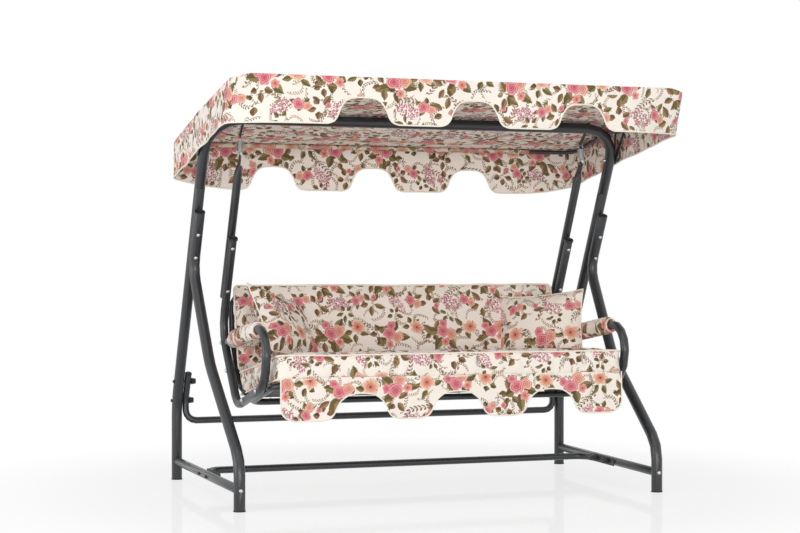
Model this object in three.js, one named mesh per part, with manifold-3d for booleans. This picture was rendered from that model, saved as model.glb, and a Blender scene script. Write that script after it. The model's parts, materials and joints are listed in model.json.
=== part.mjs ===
import * as THREE from 'three';
import { mergeVertices } from 'three/addons/utils/BufferGeometryUtils.js';
import Module from 'manifold-3d';

const wasm = await Module();
wasm.setup();

// Lengths are millimetres: X across the seat, Y from the front feet backwards, Z up

// Clearances
const FIT = 0.4;              // between pieces that touch
const HOLE_PLAY = 0.8;        // a bolt hole over its shank, in diameter
const WRAP_PLAY = 1;          // cloth pocket round a tube
const WELD = 1;               // how deep welded pieces sink into each other

// Stand
const STAND_TUBE = 48;
const STAND_WALL = 1.5;
const HALF_SPREAD = 955;      // centre line of the uprights from the middle
const TOE_IN = 30;            // front feet stand this much nearer the middle
const TOP_BAR_Y = 457;
const TOP_BAR_Z = 1604;
const SHOULDER_BEND = 150;
const UPRIGHT_LEAN = THREE.MathUtils.degToRad(27.3);
const BOW_END_Z = 1320;
const SOCKET = 60;            // depth of a tube neck in its neighbour
const REAR_FOOT_Y = 1100;
const REAR_KNEE_BEND = 220;
const FRONT_HEAD_Z = 1210;
const HIP_Z = 962;
const HIP_BEND = 110;
const KNEE_Y = 465;
const KNEE_Z = 560;
const KNEE_BEND = 300;
const ANKLE_Z = 206;
const ANKLE_BEND = 130;
const LEG_BOLT_ZS = [1122, 1023];

// Bars between the legs
const FLOOR_BAR_TUBE = 38;
const FLOOR_BAR_Z = 85;
const CROSS_TUBE = 31;
const CROSS_WALL = 1.2;
const CROSSBAR_Y = 690;
const CROSSBAR_BEND = 62;
const CROSSBAR_END_Y = 400;
const CROSSBAR_BOLT_YS = [600, 478];
const BRACE_Z = 270;
const BRACE_BEND = 62;
const BRACE_TOP_Z = 486;
const BRACE_BOLT_ZS = [452, 362];

// Pivots of the hanging seat
const ARM_INSET = 155;        // hanger and arms from the uprights' centre line
const ARM_X = HALF_SPREAD - ARM_INSET;
const PIVOT_Y = 512;
const LUG_PIVOT_Z = 1536;
const HOOK_PIVOT_Z = 1444;
const LUG_THICK = 4;
const LUG_EYE = 20;
const LUG_HOLE = 10;
const LUG_ROOT = 30;
const WIRE = 4;
const HOOK_LOOP = 22;
const COIL = 26;
const COIL_END_Z = 1472;
const COIL_TURNS = 7;
const LINK_RING = 22;

// Seat arms
const ARM_TUBE = 38;
const ARM_WALL = 1.5;
const ARM_SLOPE = 0.5;        // run per rise of the hanger and upper arm
const HANGER_FOOT_Z = 840;
const HANGER_TONGUE = 13;     // past the pivot hole
const HANGER_FLAT = 40;
const FLAT_TAPER = 45;
const FLAT_SLIT = 0.5;
const ARM_HEAD_Z = 1092;
const ELBOW_Z = 691;
const ELBOW_BEND = 150;
const HEEL_Y = 556;
const HEEL_Z = 375;
const HEEL_BEND = 105;
const ARM_JOINT_Y = 440;
const ARM_NECK = 40;
const ARM_BOLT_ZS = [1060, 873];

// Armrest loops
const LOOP_FRONT_Y = 57;
const LOOP_LOW_BEND = 150;
const LOOP_TOP_BEND = 105;
const LOOP_TOP_Z = 735;       // where the top run would meet the front upright
const LOOP_END_Y = 787;
const LOOP_END_Z = 635;
const LOOP_FLAT = 46;
const PAD_FRONT_Y = 190;
const PAD_REAR_Y = 640;
const PAD_WIDE = 58;
const PAD_TALL = 72;
const PAD_END_SHARE = 0.86;

// Seat and back frames
const SEAT_RAIL = 28;
const SEAT_RAIL_WALL = 1.2;
const SEAT_CORNER = 62;
const SEAT_FRONT_Y = 50;
const SEAT_REAR_Y = 460;
const BACK_TUBE = 25;
const BACK_CORNER = 70;
const BACK_FOOT_Y = 545;
const BACK_FOOT_Z = 430;
const BACK_HEEL_Y = 665;
const BACK_HEEL_Z = 452;
const BACK_WAIST_Y = 812;
const BACK_WAIST_Z = 655;
const BACK_TOP_Y = 838;
const BACK_TOP_Z = 856;
const MESH_THICK = 2.5;
const MESH_TABS = 10;
const MESH_TAB = 30;
const MESH_INSET = 26;

// Cushions and skirt
const SEAT_PAD_ROOM = 13;      // between the cushion's end and the arm
const SEAT_PAD_HALF = ARM_X - ARM_TUBE / 2 - SEAT_PAD_ROOM;
const SEAT_PAD_FRONT_Y = 0;
const SEAT_PAD_REAR_Y = 679;
const SEAT_PAD_Z = 515.5;
const SEAT_PAD_THICK = 110;
const SEAT_PAD_SLOPE = 0.165;
const BACK_PAD_IN = 24;        // the back cushion's ends from the seat cushion's
const BACK_PAD_HALF = SEAT_PAD_HALF - BACK_PAD_IN;
const BACK_PAD_FOOT_Y = 727;
const BACK_PAD_FOOT_Z = 502;
const BACK_PAD_TOP_Y = 829;
const BACK_PAD_TOP_Z = 888;
const BACK_PAD_THICK = 118;
const CROWN_SHARE = 0.14;
const DRAW_SHARE = 0.012;
const SKIRT_IN = 13;
const SKIRT_HALF = SEAT_PAD_HALF - SKIRT_IN;
const SKIRT_TOP_Z = 526;
const SKIRT_DROP = 174;
const SKIRT_ARCH = 97;
const SKIRT_PITCH_SHARE = 0.543;
const SKIRT_ARCH_SHARE = 0.341;
const SKIRT_ARCH_PITCH = SKIRT_HALF * SKIRT_PITCH_SHARE;
const SKIRT_ARCH_HALF = SKIRT_ARCH_PITCH * SKIRT_ARCH_SHARE;
const SKIRT_CORNER = 42;
const CLOTH = 3;
const PILLOW_SIDE = 390;
const PILLOW_HEIGHT = 330;
const PILLOW_THICK = 120;
const PILLOW_SEAM = 8;
const PILLOW_LEAN = 18;        // degrees
const LEFT_PILLOW_IN = 168;    // its middle from the seat cushion's end
const LEFT_PILLOW_Y = 584.4;
const LEFT_PILLOW_Z = 705;
const LEFT_PILLOW_TILT = -10;  // degrees
const LEFT_PILLOW_TURN = 37;   // degrees
const RIGHT_PILLOW_IN = 143.3;
const RIGHT_PILLOW_Y = 575.2;
const RIGHT_PILLOW_Z = 691.4;
const RIGHT_PILLOW_TILT = 6;   // degrees
const RIGHT_PILLOW_TURN = -42; // degrees

// Canopy
const CANOPY_OVERHANG = 45;    // past the uprights' centre line
const CANOPY_HALF = HALF_SPREAD + CANOPY_OVERHANG;
const CANOPY_FRONT_Y = -150;
const CANOPY_REAR_Y = 970;
const CANOPY_LIE = 7;          // cloth over the top bar
const CANOPY_RIDGE_Z = TOP_BAR_Z + STAND_TUBE / 2 + CANOPY_LIE;
const CANOPY_FRONT_RISE = 99;
const CANOPY_REAR_FALL = 105;
const CANOPY_FRONT_Z = CANOPY_RIDGE_Z + CANOPY_FRONT_RISE;
const CANOPY_REAR_Z = CANOPY_RIDGE_Z - CANOPY_REAR_FALL;
const CANOPY_CORNER = 30;
const CANOPY_TAPER = 15;       // each end of the top in at its front edge
const HEM_PULL = 95;           // the hem's front corners drawn back
const HEM_LIFT = 45;           // the hem's rear corners drawn up
const HEM_REACH = 330;         // how far from the ends that dies out
const CANOPY_SHEET = 3;
const VALANCE_DROP = 189;
const VALANCE_REAR_DROP = 203;
const VALANCE_ARCH = 107;
const VALANCE_PITCH_SHARE = 0.48;
const VALANCE_ARCH_SHARE = 0.25;
const VALANCE_FRONT_OFF = 27;  // the arches off the middle
const VALANCE_REAR_OFF = -55;
const VALANCE_ARCH_PITCH = CANOPY_HALF * VALANCE_PITCH_SHARE;
const VALANCE_ARCH_HALF = VALANCE_ARCH_PITCH * VALANCE_ARCH_SHARE;
const CANOPY_TUBE = 18;
const CANOPY_WALL = 1.2;
const CANOPY_TUBE_INSET = 36;
const CANOPY_SIDE_GAP = 44;    // centre of the ring's side from the cloth's edge
const CANOPY_TUBE_SIDE = CANOPY_HALF - CANOPY_SIDE_GAP;
const CANOPY_TUBE_CORNER = 52;
const CANOPY_PIVOT_Y = 529;
const CANOPY_PIVOT_Z = 1465;
const STRAP_THICK = 3;
const STRAP_EYE = 30;
const STRAP_TOP = 100;
const STRAP_TOP_Y = 470;
const STRAP_WIDE = 18;

// Fasteners and caps
const BOLT = 8;
const BOLT_HEAD = 17;
const BOLT_HEAD_HIGH = 6;
const NUT = 16;
const NUT_HIGH = 11;
const KNOB = 30;
const KNOB_HIGH = 20;
const CAP_FLANGE = 4;
const CAP_PLUG = 22;
const CAP_RECESS = 8;
const COLLAR_PROUD = 3;
const COLLAR_HIGH = 10;

// Facets
const TUBE_SIDES = 10;
const THIN_SIDES = 8;
const BOLT_SIDES = 8;
const HOLE_SIDES = 8;
const BEND_STEP = THREE.MathUtils.degToRad(28);
const COIL_STEPS = 8;
const WIRE_SIDES = 5;
const LOOP_STEPS = 24;

const group = new THREE.Group();
group.name = 'garden_swing_seat';

const FINISHES = {
  coat: new THREE.MeshStandardMaterial({ color: 0x43464b, roughness: 0.45, metalness: 0.3 }),
  zinc: new THREE.MeshStandardMaterial({ color: 0xb9bcc0, roughness: 0.3, metalness: 0.9 }),
  plastic: new THREE.MeshStandardMaterial({ color: 0x1d1e20, roughness: 0.6 }),
  print: new THREE.MeshStandardMaterial({ color: 0xefe7d8, roughness: 0.9 }),
  mesh: new THREE.MeshStandardMaterial({ color: 0x6f7276, roughness: 0.8 }),
};

function add(name, geometry, finish) {
  geometry.deleteAttribute('uv');
  geometry.computeVertexNormals();
  const mesh = new THREE.Mesh(geometry, FINISHES[finish].clone());
  mesh.name = name;
  group.add(mesh);
  return mesh;
}

function point(x, y, z) {
  return new THREE.Vector3(x, y, z);
}

// A path that is only known at its stations: straight ends and the steps of each bend
class StationPath extends THREE.Curve {
  constructor(stations) {
    super();
    this.stations = stations;
  }

  indexAt(share) {
    return Math.round(share * (this.stations.length - 1));
  }

  getPoint(share, target = new THREE.Vector3()) {
    return target.copy(this.stations[this.indexAt(share)]);
  }

  getPointAt(share, target) {
    return this.getPoint(share, target);
  }

  getTangent(share, target = new THREE.Vector3()) {
    const index = this.indexAt(share);
    const here = this.stations[index];
    const before = this.stations[index - 1];
    const after = this.stations[index + 1];
    target.set(0, 0, 0);
    if (before) {
      target.add(here.clone().sub(before).normalize());
    }
    if (after) {
      target.add(after.clone().sub(here).normalize());
    }
    return target.normalize();
  }

  getTangentAt(share, target) {
    return this.getTangent(share, target);
  }

  getSpacedPoints() {
    return this.stations.map((station) => station.clone());
  }
}

// The stations of one bend between two straight runs
function bendStations(before, corner, after, radius) {
  const into = corner.clone().sub(before).normalize();
  const out = after.clone().sub(corner).normalize();
  const turn = into.angleTo(out);
  const start = corner.clone().addScaledVector(into, -radius * Math.tan(turn / 2));
  const axis = into.clone().cross(out).normalize();
  const centre = start.clone().addScaledVector(axis.clone().cross(into), radius);
  const spoke = start.clone().sub(centre);
  const steps = Math.max(2, Math.ceil(turn / BEND_STEP));
  const stations = [];
  for (let step = 0; step <= steps; step += 1) {
    stations.push(spoke.clone().applyAxisAngle(axis, (turn * step) / steps).add(centre));
  }
  return stations;
}

// A route through corners, each rounded by its own bend
function route(corners, radii) {
  const stations = [corners[0].clone()];
  for (let index = 1; index < corners.length - 1; index += 1) {
    stations.push(...bendStations(corners[index - 1], corners[index], corners[index + 1], radii[index - 1]));
  }
  stations.push(corners[corners.length - 1].clone());
  return stations;
}

// Extra stations at given distances from the first end of a route
function withStops(stations, distances) {
  const [first, second, ...rest] = stations;
  const along = second.clone().sub(first).normalize();
  const stops = distances.map((distance) => first.clone().addScaledVector(along, distance));
  return [first, ...stops, second, ...rest];
}

function withStopsAtBothEnds(stations, distances) {
  const once = withStops(stations, distances).reverse();
  return withStops(once, distances).reverse();
}

function polygon(radius, sides) {
  const corners = [];
  for (let side = 0; side < sides; side += 1) {
    const angle = (side / sides) * Math.PI * 2;
    corners.push(new THREE.Vector2(Math.cos(angle) * radius, Math.sin(angle) * radius));
  }
  return corners;
}

function sealed(geometry) {
  geometry.deleteAttribute('normal');
  geometry.deleteAttribute('uv');
  return mergeVertices(geometry, FIT / 100);
}

function sweep(shape, stations) {
  const options = { steps: stations.length - 1, extrudePath: new StationPath(stations) };
  return sealed(new THREE.ExtrudeGeometry(shape, options));
}

// A hollow tube through the stations
function tube(stations, diameter, wall, sides) {
  const shape = new THREE.Shape(polygon(diameter / 2, sides));
  shape.holes.push(new THREE.Path(polygon(diameter / 2 - wall, sides).reverse()));
  return sweep(shape, stations);
}

function rod(stations, diameter, sides) {
  return sweep(new THREE.Shape(polygon(diameter / 2, sides)), stations);
}

// Moves the vertices near one end of a tube, each by its offset from the tube's axis
function reshapeEnd(geometry, end, inward, reach, spread, move) {
  const places = geometry.attributes.position;
  const offset = new THREE.Vector3();
  for (let index = 0; index < places.count; index += 1) {
    offset.fromBufferAttribute(places, index).sub(end);
    const along = offset.dot(inward);
    offset.addScaledVector(inward, -along);
    if (along < reach && offset.length() < spread) {
      move(offset);
      offset.addScaledVector(inward, along).add(end);
      places.setXYZ(index, offset.x, offset.y, offset.z);
    }
  }
}

// A neck that fits the bore of the next tube
function neckDown(geometry, end, inward, length, diameter, wall) {
  const share = (diameter / 2 - wall - FIT) / (diameter / 2);
  reshapeEnd(geometry, end, inward, length + FIT / 4, diameter, (offset) => offset.multiplyScalar(share));
}

// A pressed flat end, thin across X, with its middle moved across by shift
function flatten(geometry, end, inward, length, section, shift) {
  const { diameter, wall, widen } = section;
  const middle = (diameter - wall) / 2;
  reshapeEnd(geometry, end, inward, length + FIT / 4, diameter, (offset) => {
    const outside = offset.length() > middle * 0.985;
    const half = outside ? wall + FLAT_SLIT / 2 : FLAT_SLIT / 2;
    const round = outside ? diameter / 2 : diameter / 2 - wall;
    const across = offset.x;
    offset.multiplyScalar(widen);
    offset.x = across * (half / round) + shift;
  });
}

function toManifold(geometry) {
  const count = geometry.attributes.position.count;
  const vertProperties = new Float32Array(count * 3);
  vertProperties.set(geometry.attributes.position.array.subarray(0, count * 3));
  const triVerts = new Uint32Array(geometry.index.array);
  return new wasm.Manifold(new wasm.Mesh({ numProp: 3, vertProperties, triVerts }));
}

function fromManifold(solid) {
  const mesh = solid.getMesh();
  const geometry = new THREE.BufferGeometry();
  const places = new THREE.BufferAttribute(new Float32Array(mesh.vertProperties), 3);
  geometry.setAttribute('position', places);
  geometry.setIndex(new THREE.BufferAttribute(new Uint32Array(mesh.triVerts), 1));
  return geometry;
}

function cut(geometry, tools) {
  const solid = tools.reduce((left, tool) => left.subtract(toManifold(tool)), toManifold(geometry));
  return fromManifold(solid);
}

function join(geometry, others) {
  const solid = others.reduce((left, other) => left.add(toManifold(other)), toManifold(geometry));
  return fromManifold(solid);
}

// Turns a shape made along +Y so that it runs along a direction from a place
function aim(geometry, place, direction) {
  const turn = new THREE.Quaternion().setFromUnitVectors(point(0, 1, 0), direction.clone().normalize());
  geometry.applyQuaternion(turn);
  geometry.translate(place.x, place.y, place.z);
  return geometry;
}

// A turned solid from radius and height pairs that start and end on the axis
function turned(profile, sides, place, direction) {
  const outline = profile.map(([radius, height]) => new THREE.Vector2(radius, height));
  return aim(sealed(new THREE.LatheGeometry(outline, sides)), place, direction);
}

function drill(place, direction, diameter, length) {
  const start = place.clone().addScaledVector(direction, -length / 2);
  const radius = diameter / 2 / Math.cos(Math.PI / HOLE_SIDES);
  const profile = [[0, 0], [radius, 0], [radius, length], [0, length]];
  return turned(profile, HOLE_SIDES, start, direction);
}

function boltHole(place, direction, length) {
  return drill(place, direction, BOLT + HOLE_PLAY, length);
}

// A dome-headed bolt with its nut: place is under the head, grip the thickness held
function bolt(place, direction, grip, nut) {
  const head = BOLT_HEAD / 2;
  const profile = [
    [0, -FIT - BOLT_HEAD_HIGH],
    [head * 0.7, -FIT - BOLT_HEAD_HIGH * 0.7],
    [head, -FIT],
    [BOLT / 2, -FIT],
    [BOLT / 2, grip + FIT],
    [nut.wide / 2, grip + FIT],
    [nut.wide * 0.4, grip + FIT + nut.high],
    [0, grip + FIT + nut.high],
  ];
  return turned(profile, BOLT_SIDES, place, direction);
}

const CAP_NUT = { wide: NUT, high: NUT_HIGH };
const KNOB_NUT = { wide: KNOB, high: KNOB_HIGH };

// A plastic insert for an open tube end, its flange outwards
function insertCap(end, outward, tubeSize, wall, flange) {
  const plug = (tubeSize / 2 - wall) * Math.cos(Math.PI / TUBE_SIDES) - FIT;
  const profile = [
    [0, -flange.plug],
    [plug, -flange.plug],
    [plug, FIT],
    [flange.wide / 2, FIT],
    [flange.wide / 2, flange.high + FIT],
    [flange.wide / 2 - flange.rim, flange.high + FIT],
    [flange.wide / 2 - flange.rim * 1.4, flange.high + FIT - flange.recess],
    [0, flange.high + FIT - flange.recess],
  ];
  return turned(profile, TUBE_SIDES, end, outward);
}

const SIDES = [['left', -1], ['right', 1]];

// Stand: the leaning plane of the uprights
const leanRun = Math.tan(UPRIGHT_LEAN);

function uprightY(z) {
  return TOP_BAR_Y + (TOP_BAR_Z - z) * leanRun;
}

const upLean = point(0, -Math.sin(UPRIGHT_LEAN), Math.cos(UPRIGHT_LEAN));
const lapStep = (STAND_TUBE + FIT) / Math.cos(UPRIGHT_LEAN);
const acrossLean = point(0, Math.cos(UPRIGHT_LEAN), Math.sin(UPRIGHT_LEAN));

function frontLapY(z) {
  return uprightY(z) - lapStep;
}

function canopyPivot(side) {
  return point(side * HALF_SPREAD, CANOPY_PIVOT_Y, CANOPY_PIVOT_Z);
}

function lug(side) {
  const holeZ = LUG_PIVOT_Z + (LUG_HOLE - WIRE) / 2 - FIT;
  const outline = new THREE.Shape();
  outline.moveTo(TOP_BAR_Y - LUG_ROOT / 2, TOP_BAR_Z - STAND_TUBE / 2 + LUG_THICK * 2);
  outline.lineTo(TOP_BAR_Y + LUG_ROOT / 2, TOP_BAR_Z - STAND_TUBE / 2 + LUG_THICK * 2);
  outline.lineTo(PIVOT_Y + LUG_EYE / 2, holeZ + LUG_EYE / 4);
  outline.absarc(PIVOT_Y, holeZ, LUG_EYE / 2, 0, -Math.PI * 0.8, true);
  const solid = new THREE.ExtrudeGeometry(outline, { depth: LUG_THICK, bevelEnabled: false, curveSegments: 8 });
  const plate = sealed(solid);
  plate.rotateX(Math.PI / 2);
  plate.rotateZ(Math.PI / 2);
  plate.translate(side * ARM_X - LUG_THICK / 2, 0, 0);
  const hole = drill(point(side * ARM_X, PIVOT_Y, holeZ), point(1, 0, 0), LUG_HOLE, LUG_THICK * 4);
  return cut(plate, [hole]);
}

// Top bow: the top bar and both upper uprights bent from one tube
function topBow() {
  const leftFoot = point(-HALF_SPREAD, uprightY(BOW_END_Z), BOW_END_Z);
  const rightFoot = point(HALF_SPREAD, uprightY(BOW_END_Z), BOW_END_Z);
  const leftTop = point(-HALF_SPREAD, TOP_BAR_Y, TOP_BAR_Z);
  const rightTop = point(HALF_SPREAD, TOP_BAR_Y, TOP_BAR_Z);
  const stations = route([leftFoot, leftTop, rightTop, rightFoot], [SHOULDER_BEND, SHOULDER_BEND]);
  const holes = SIDES.map(([, side]) => boltHole(canopyPivot(side), point(1, 0, 0), STAND_TUBE * 2));
  const welded = join(tube(stations, STAND_TUBE, STAND_WALL, TUBE_SIDES), SIDES.map(([, side]) => lug(side)));
  return cut(welded, holes);
}

add('top_bow', topBow(), 'coat');

function legBoltPlace(side, z) {
  return point(side * HALF_SPREAD, frontLapY(z), z);
}

function braceBoltPlace(side, z) {
  return point(side * HALF_SPREAD, uprightY(z), z);
}

// Rear leg: its neck sits in the top bow, its knee turns it upright above the floor
function rearLeg(side) {
  const neckZ = BOW_END_Z + SOCKET * Math.cos(UPRIGHT_LEAN);
  const head = point(side * HALF_SPREAD, uprightY(neckZ), neckZ);
  const kneeZ = TOP_BAR_Z - (REAR_FOOT_Y - TOP_BAR_Y) / leanRun;
  const knee = point(side * HALF_SPREAD, REAR_FOOT_Y, kneeZ);
  const foot = point(side * HALF_SPREAD, REAR_FOOT_Y, CAP_FLANGE + FIT);
  const down = upLean.clone().negate();
  const shoulder = SOCKET + FIT;
  const stations = withStops(route([head, knee, foot], [REAR_KNEE_BEND]), [shoulder, shoulder + FIT]);
  const leg = tube(stations, STAND_TUBE, STAND_WALL, TUBE_SIDES);
  neckDown(leg, head, down, shoulder, STAND_TUBE, STAND_WALL);
  const across = STAND_TUBE * 1.5;
  const lapHoles = LEG_BOLT_ZS.map((z) => {
    const place = legBoltPlace(side, z).addScaledVector(acrossLean, STAND_TUBE + FIT);
    return boltHole(place, acrossLean, across);
  });
  const braceHoles = BRACE_BOLT_ZS.map((z) => boltHole(braceHoleOnLeg(side, z), point(1, 0, 0), across));
  return cut(leg, [...lapHoles, ...braceHoles]);
}

// The brace bolts lie on the centre line of the rear leg, also where that bends
function braceHoleOnLeg(side, z) {
  const y = Math.min(uprightY(z), REAR_FOOT_Y);
  return braceBoltPlace(side, z).setY(y);
}

// Front leg: lapped in front of the upright, then down and forwards in three bends
function frontLeg(side) {
  const head = point(side * HALF_SPREAD, frontLapY(FRONT_HEAD_Z), FRONT_HEAD_Z);
  const hip = point(side * HALF_SPREAD, frontLapY(HIP_Z), HIP_Z);
  const upper = Math.hypot(hip.y - KNEE_Y, hip.z - KNEE_Z);
  const lower = Math.hypot(KNEE_Y, KNEE_Z - ANKLE_Z);
  const kneeX = HALF_SPREAD - (TOE_IN * upper) / (upper + lower);
  const knee = point(side * kneeX, KNEE_Y, KNEE_Z);
  const ankle = point(side * (HALF_SPREAD - TOE_IN), 0, ANKLE_Z);
  const foot = point(side * (HALF_SPREAD - TOE_IN), 0, CAP_FLANGE + FIT);
  const stations = route([head, hip, knee, ankle, foot], [HIP_BEND, KNEE_BEND, ANKLE_BEND]);
  const holes = LEG_BOLT_ZS.map((z) => boltHole(legBoltPlace(side, z), acrossLean, STAND_TUBE * 1.5));
  holes.push(boltHole(floorBarFront(side), floorBarRun(side), STAND_TUBE * 1.5));
  return cut(tube(stations, STAND_TUBE, STAND_WALL, TUBE_SIDES), holes);
}

function floorBarFront(side) {
  return point(side * (HALF_SPREAD - TOE_IN), 0, FLOOR_BAR_Z);
}

function floorBarRear(side) {
  return point(side * HALF_SPREAD, REAR_FOOT_Y, FLOOR_BAR_Z);
}

function floorBarRun(side) {
  return floorBarRear(side).sub(floorBarFront(side)).normalize();
}

function onFloorBar(side, y) {
  const share = y / REAR_FOOT_Y;
  return floorBarFront(side).lerp(floorBarRear(side), share);
}

function legCore(place) {
  return turned(
    [[0, 0], [STAND_TUBE / 2 + FIT, 0], [STAND_TUBE / 2 + FIT, STAND_TUBE * 2], [0, STAND_TUBE * 2]],
    TUBE_SIDES * 2,
    point(place.x, place.y, FLOOR_BAR_Z - STAND_TUBE),
    point(0, 0, 1),
  );
}

// Floor bar: both ends cut to the round of the legs
function floorBar(side) {
  const ends = [floorBarFront(side), floorBarRear(side)];
  const holes = CROSSBAR_BOLT_YS.map((y) => boltHole(onFloorBar(side, y), point(1, 0, 0), STAND_TUBE * 1.5));
  const bar = tube(ends, FLOOR_BAR_TUBE, STAND_WALL, TUBE_SIDES);
  return cut(bar, [...ends.map(legCore), ...holes]);
}

// A bolt whose round nut sits in the bore of the floor bar
function floorBarBolt(side) {
  const run = floorBarRun(side);
  const start = floorBarFront(side).addScaledVector(run, -STAND_TUBE / 2);
  const bore = FLOOR_BAR_TUBE - 2 * STAND_WALL;
  const nut = { wide: bore * Math.cos(Math.PI / TUBE_SIDES) - 2 * FIT, high: NUT_HIGH };
  return bolt(start, run, STAND_TUBE * 1.4, nut);
}

// Crossbar: one tube whose pressed ends lie on the inner faces of the floor bars
function floorCrossbar() {
  const section = { diameter: CROSS_TUBE, wall: CROSS_WALL, widen: 1.2 };
  const flat = CROSSBAR_BOLT_YS[0] - CROSSBAR_END_Y + BOLT_HEAD;
  const faceX = (y) => onFloorBar(1, y).x - FLOOR_BAR_TUBE / 2 - FIT;
  const inset = CROSS_TUBE / 2 + FIT;
  const end = (side) => point(side * (faceX(CROSSBAR_END_Y) - inset), CROSSBAR_END_Y, FLOOR_BAR_Z);
  const corner = (side) => point(side * (faceX(CROSSBAR_Y) - inset), CROSSBAR_Y, FLOOR_BAR_Z);
  const path = route([end(-1), corner(-1), corner(1), end(1)], [CROSSBAR_BEND, CROSSBAR_BEND]);
  const bar = tube(withStopsAtBothEnds(path, [flat]), CROSS_TUBE, CROSS_WALL, THIN_SIDES);
  const thick = CROSS_WALL + FLAT_SLIT / 2;
  SIDES.forEach(([, side]) => {
    const inward = corner(side).sub(end(side)).normalize();
    flatten(bar, end(side), inward, flat, section, side * (inset - thick));
  });
  const holes = SIDES.flatMap(([, side]) => CROSSBAR_BOLT_YS.map((y) => (
    boltHole(onFloorBar(side, y).setX(side * faceX(y)), point(1, 0, 0), CROSS_TUBE)
  )));
  return cut(bar, holes);
}

function crossbarBolt(side, y) {
  const start = onFloorBar(side, y);
  start.x += side * (FLOOR_BAR_TUBE / 2);
  const toeSlip = FIT * 2;
  const grip = FLOOR_BAR_TUBE + 2 * CROSS_WALL + FLAT_SLIT + toeSlip;
  return bolt(start, point(-side, 0, 0), grip, KNOB_NUT);
}

// Rear brace: one tube whose ends turn up along the inner sides of the rear legs
function rearBrace() {
  const x = HALF_SPREAD - STAND_TUBE / 2 - FIT - CROSS_TUBE / 2;
  const head = (side) => point(side * x, uprightY(BRACE_TOP_Z), BRACE_TOP_Z);
  const bendZ = TOP_BAR_Z - (REAR_FOOT_Y - TOP_BAR_Y) / leanRun;
  const knee = (side) => point(side * x, REAR_FOOT_Y, bendZ);
  const corner = (side) => point(side * x, REAR_FOOT_Y - (bendZ - BRACE_Z) * 0.2, BRACE_Z);
  const corners = [head(-1), knee(-1), corner(-1), corner(1), knee(1), head(1)];
  const gentle = CROSS_TUBE * 2;
  const path = route(corners, [gentle, BRACE_BEND - CROSS_TUBE / 2, BRACE_BEND - CROSS_TUBE / 2, gentle]);
  const holes = SIDES.flatMap(([, side]) => BRACE_BOLT_ZS.map((z) => (
    boltHole(braceHoleOnLeg(side, z).setX(side * x), point(1, 0, 0), CROSS_TUBE * 1.5)
  )));
  return cut(tube(path, CROSS_TUBE, CROSS_WALL, THIN_SIDES), holes);
}

function braceBolt(side, z) {
  const start = braceHoleOnLeg(side, z);
  start.x += side * (STAND_TUBE / 2);
  return bolt(start, point(-side, 0, 0), STAND_TUBE + FIT + CROSS_TUBE, KNOB_NUT);
}

const FOOT_CAP = { wide: STAND_TUBE + COLLAR_PROUD, high: CAP_FLANGE, plug: CAP_PLUG, rim: 4, recess: 0 };
const LEG_CAP = { wide: STAND_TUBE, high: CAP_FLANGE, plug: CAP_PLUG, rim: 3, recess: CAP_RECESS };
const ARM_CAP = { wide: ARM_TUBE + 2 * COLLAR_PROUD, high: COLLAR_HIGH, plug: CAP_PLUG, rim: 5, recess: CAP_RECESS };

SIDES.forEach(([name, side]) => {
  add(`${name}_rear_leg`, rearLeg(side), 'coat');
  add(`${name}_front_leg`, frontLeg(side), 'coat');
  add(`${name}_floor_bar`, floorBar(side), 'coat');
  add(`${name}_floor_bar_bolt`, floorBarBolt(side), 'zinc');
  const down = point(0, 0, -1);
  const feet = [['front', HALF_SPREAD - TOE_IN, 0], ['rear', HALF_SPREAD, REAR_FOOT_Y]];
  feet.forEach(([row, x, y]) => {
    const end = point(side * x, y, CAP_FLANGE + FIT);
    add(`${name}_${row}_foot_cap`, insertCap(end, down, STAND_TUBE, STAND_WALL, FOOT_CAP), 'plastic');
  });
  const head = point(side * HALF_SPREAD, frontLapY(FRONT_HEAD_Z), FRONT_HEAD_Z);
  add(`${name}_leg_cap`, insertCap(head, upLean, STAND_TUBE, STAND_WALL, LEG_CAP), 'plastic');
  LEG_BOLT_ZS.forEach((z, index) => {
    const start = legBoltPlace(side, z).addScaledVector(acrossLean, -STAND_TUBE / 2);
    add(`${name}_leg_bolt_${index + 1}`, bolt(start, acrossLean, 2 * STAND_TUBE + FIT, CAP_NUT), 'zinc');
  });
  CROSSBAR_BOLT_YS.forEach((y, index) => add(`${name}_crossbar_bolt_${index + 1}`, crossbarBolt(side, y), 'plastic'));
  BRACE_BOLT_ZS.forEach((z, index) => add(`${name}_brace_bolt_${index + 1}`, braceBolt(side, z), 'plastic'));
});

add('floor_crossbar', floorCrossbar(), 'coat');
add('rear_brace', rearBrace(), 'coat');

// Suspension springs: hook, coil and crossing end in one wire
function springPath(side) {
  const centre = point(side * ARM_X, PIVOT_Y, 0);
  const at = (x, y, z) => centre.clone().add(point(x, y, z));
  const path = [];
  const loop = HOOK_LOOP / 2;
  const loopZ = LUG_PIVOT_Z - loop;
  const hookSteps = Math.round(LOOP_STEPS * 0.86);
  for (let step = 0; step < hookSteps; step += 1) {
    const angle = -Math.PI / 2 + (Math.PI * 2 * (step - hookSteps)) / LOOP_STEPS;
    path.push(at(Math.cos(angle) * loop, 0, loopZ + Math.sin(angle) * loop));
  }
  const radius = COIL / 2;
  const total = COIL_TURNS * COIL_STEPS + 1;
  const fall = (loopZ - loop - COIL_END_Z) / total;
  for (let step = 0; step <= total; step += 1) {
    const angle = (Math.PI * 2 * step) / COIL_STEPS;
    const grow = Math.min(1, step / (COIL_STEPS / 2));
    path.push(at(Math.cos(angle) * radius * grow, Math.sin(angle) * radius * grow, loopZ - loop - fall * step));
  }
  return [...path, ...springTail(at, radius)];
}

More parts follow.
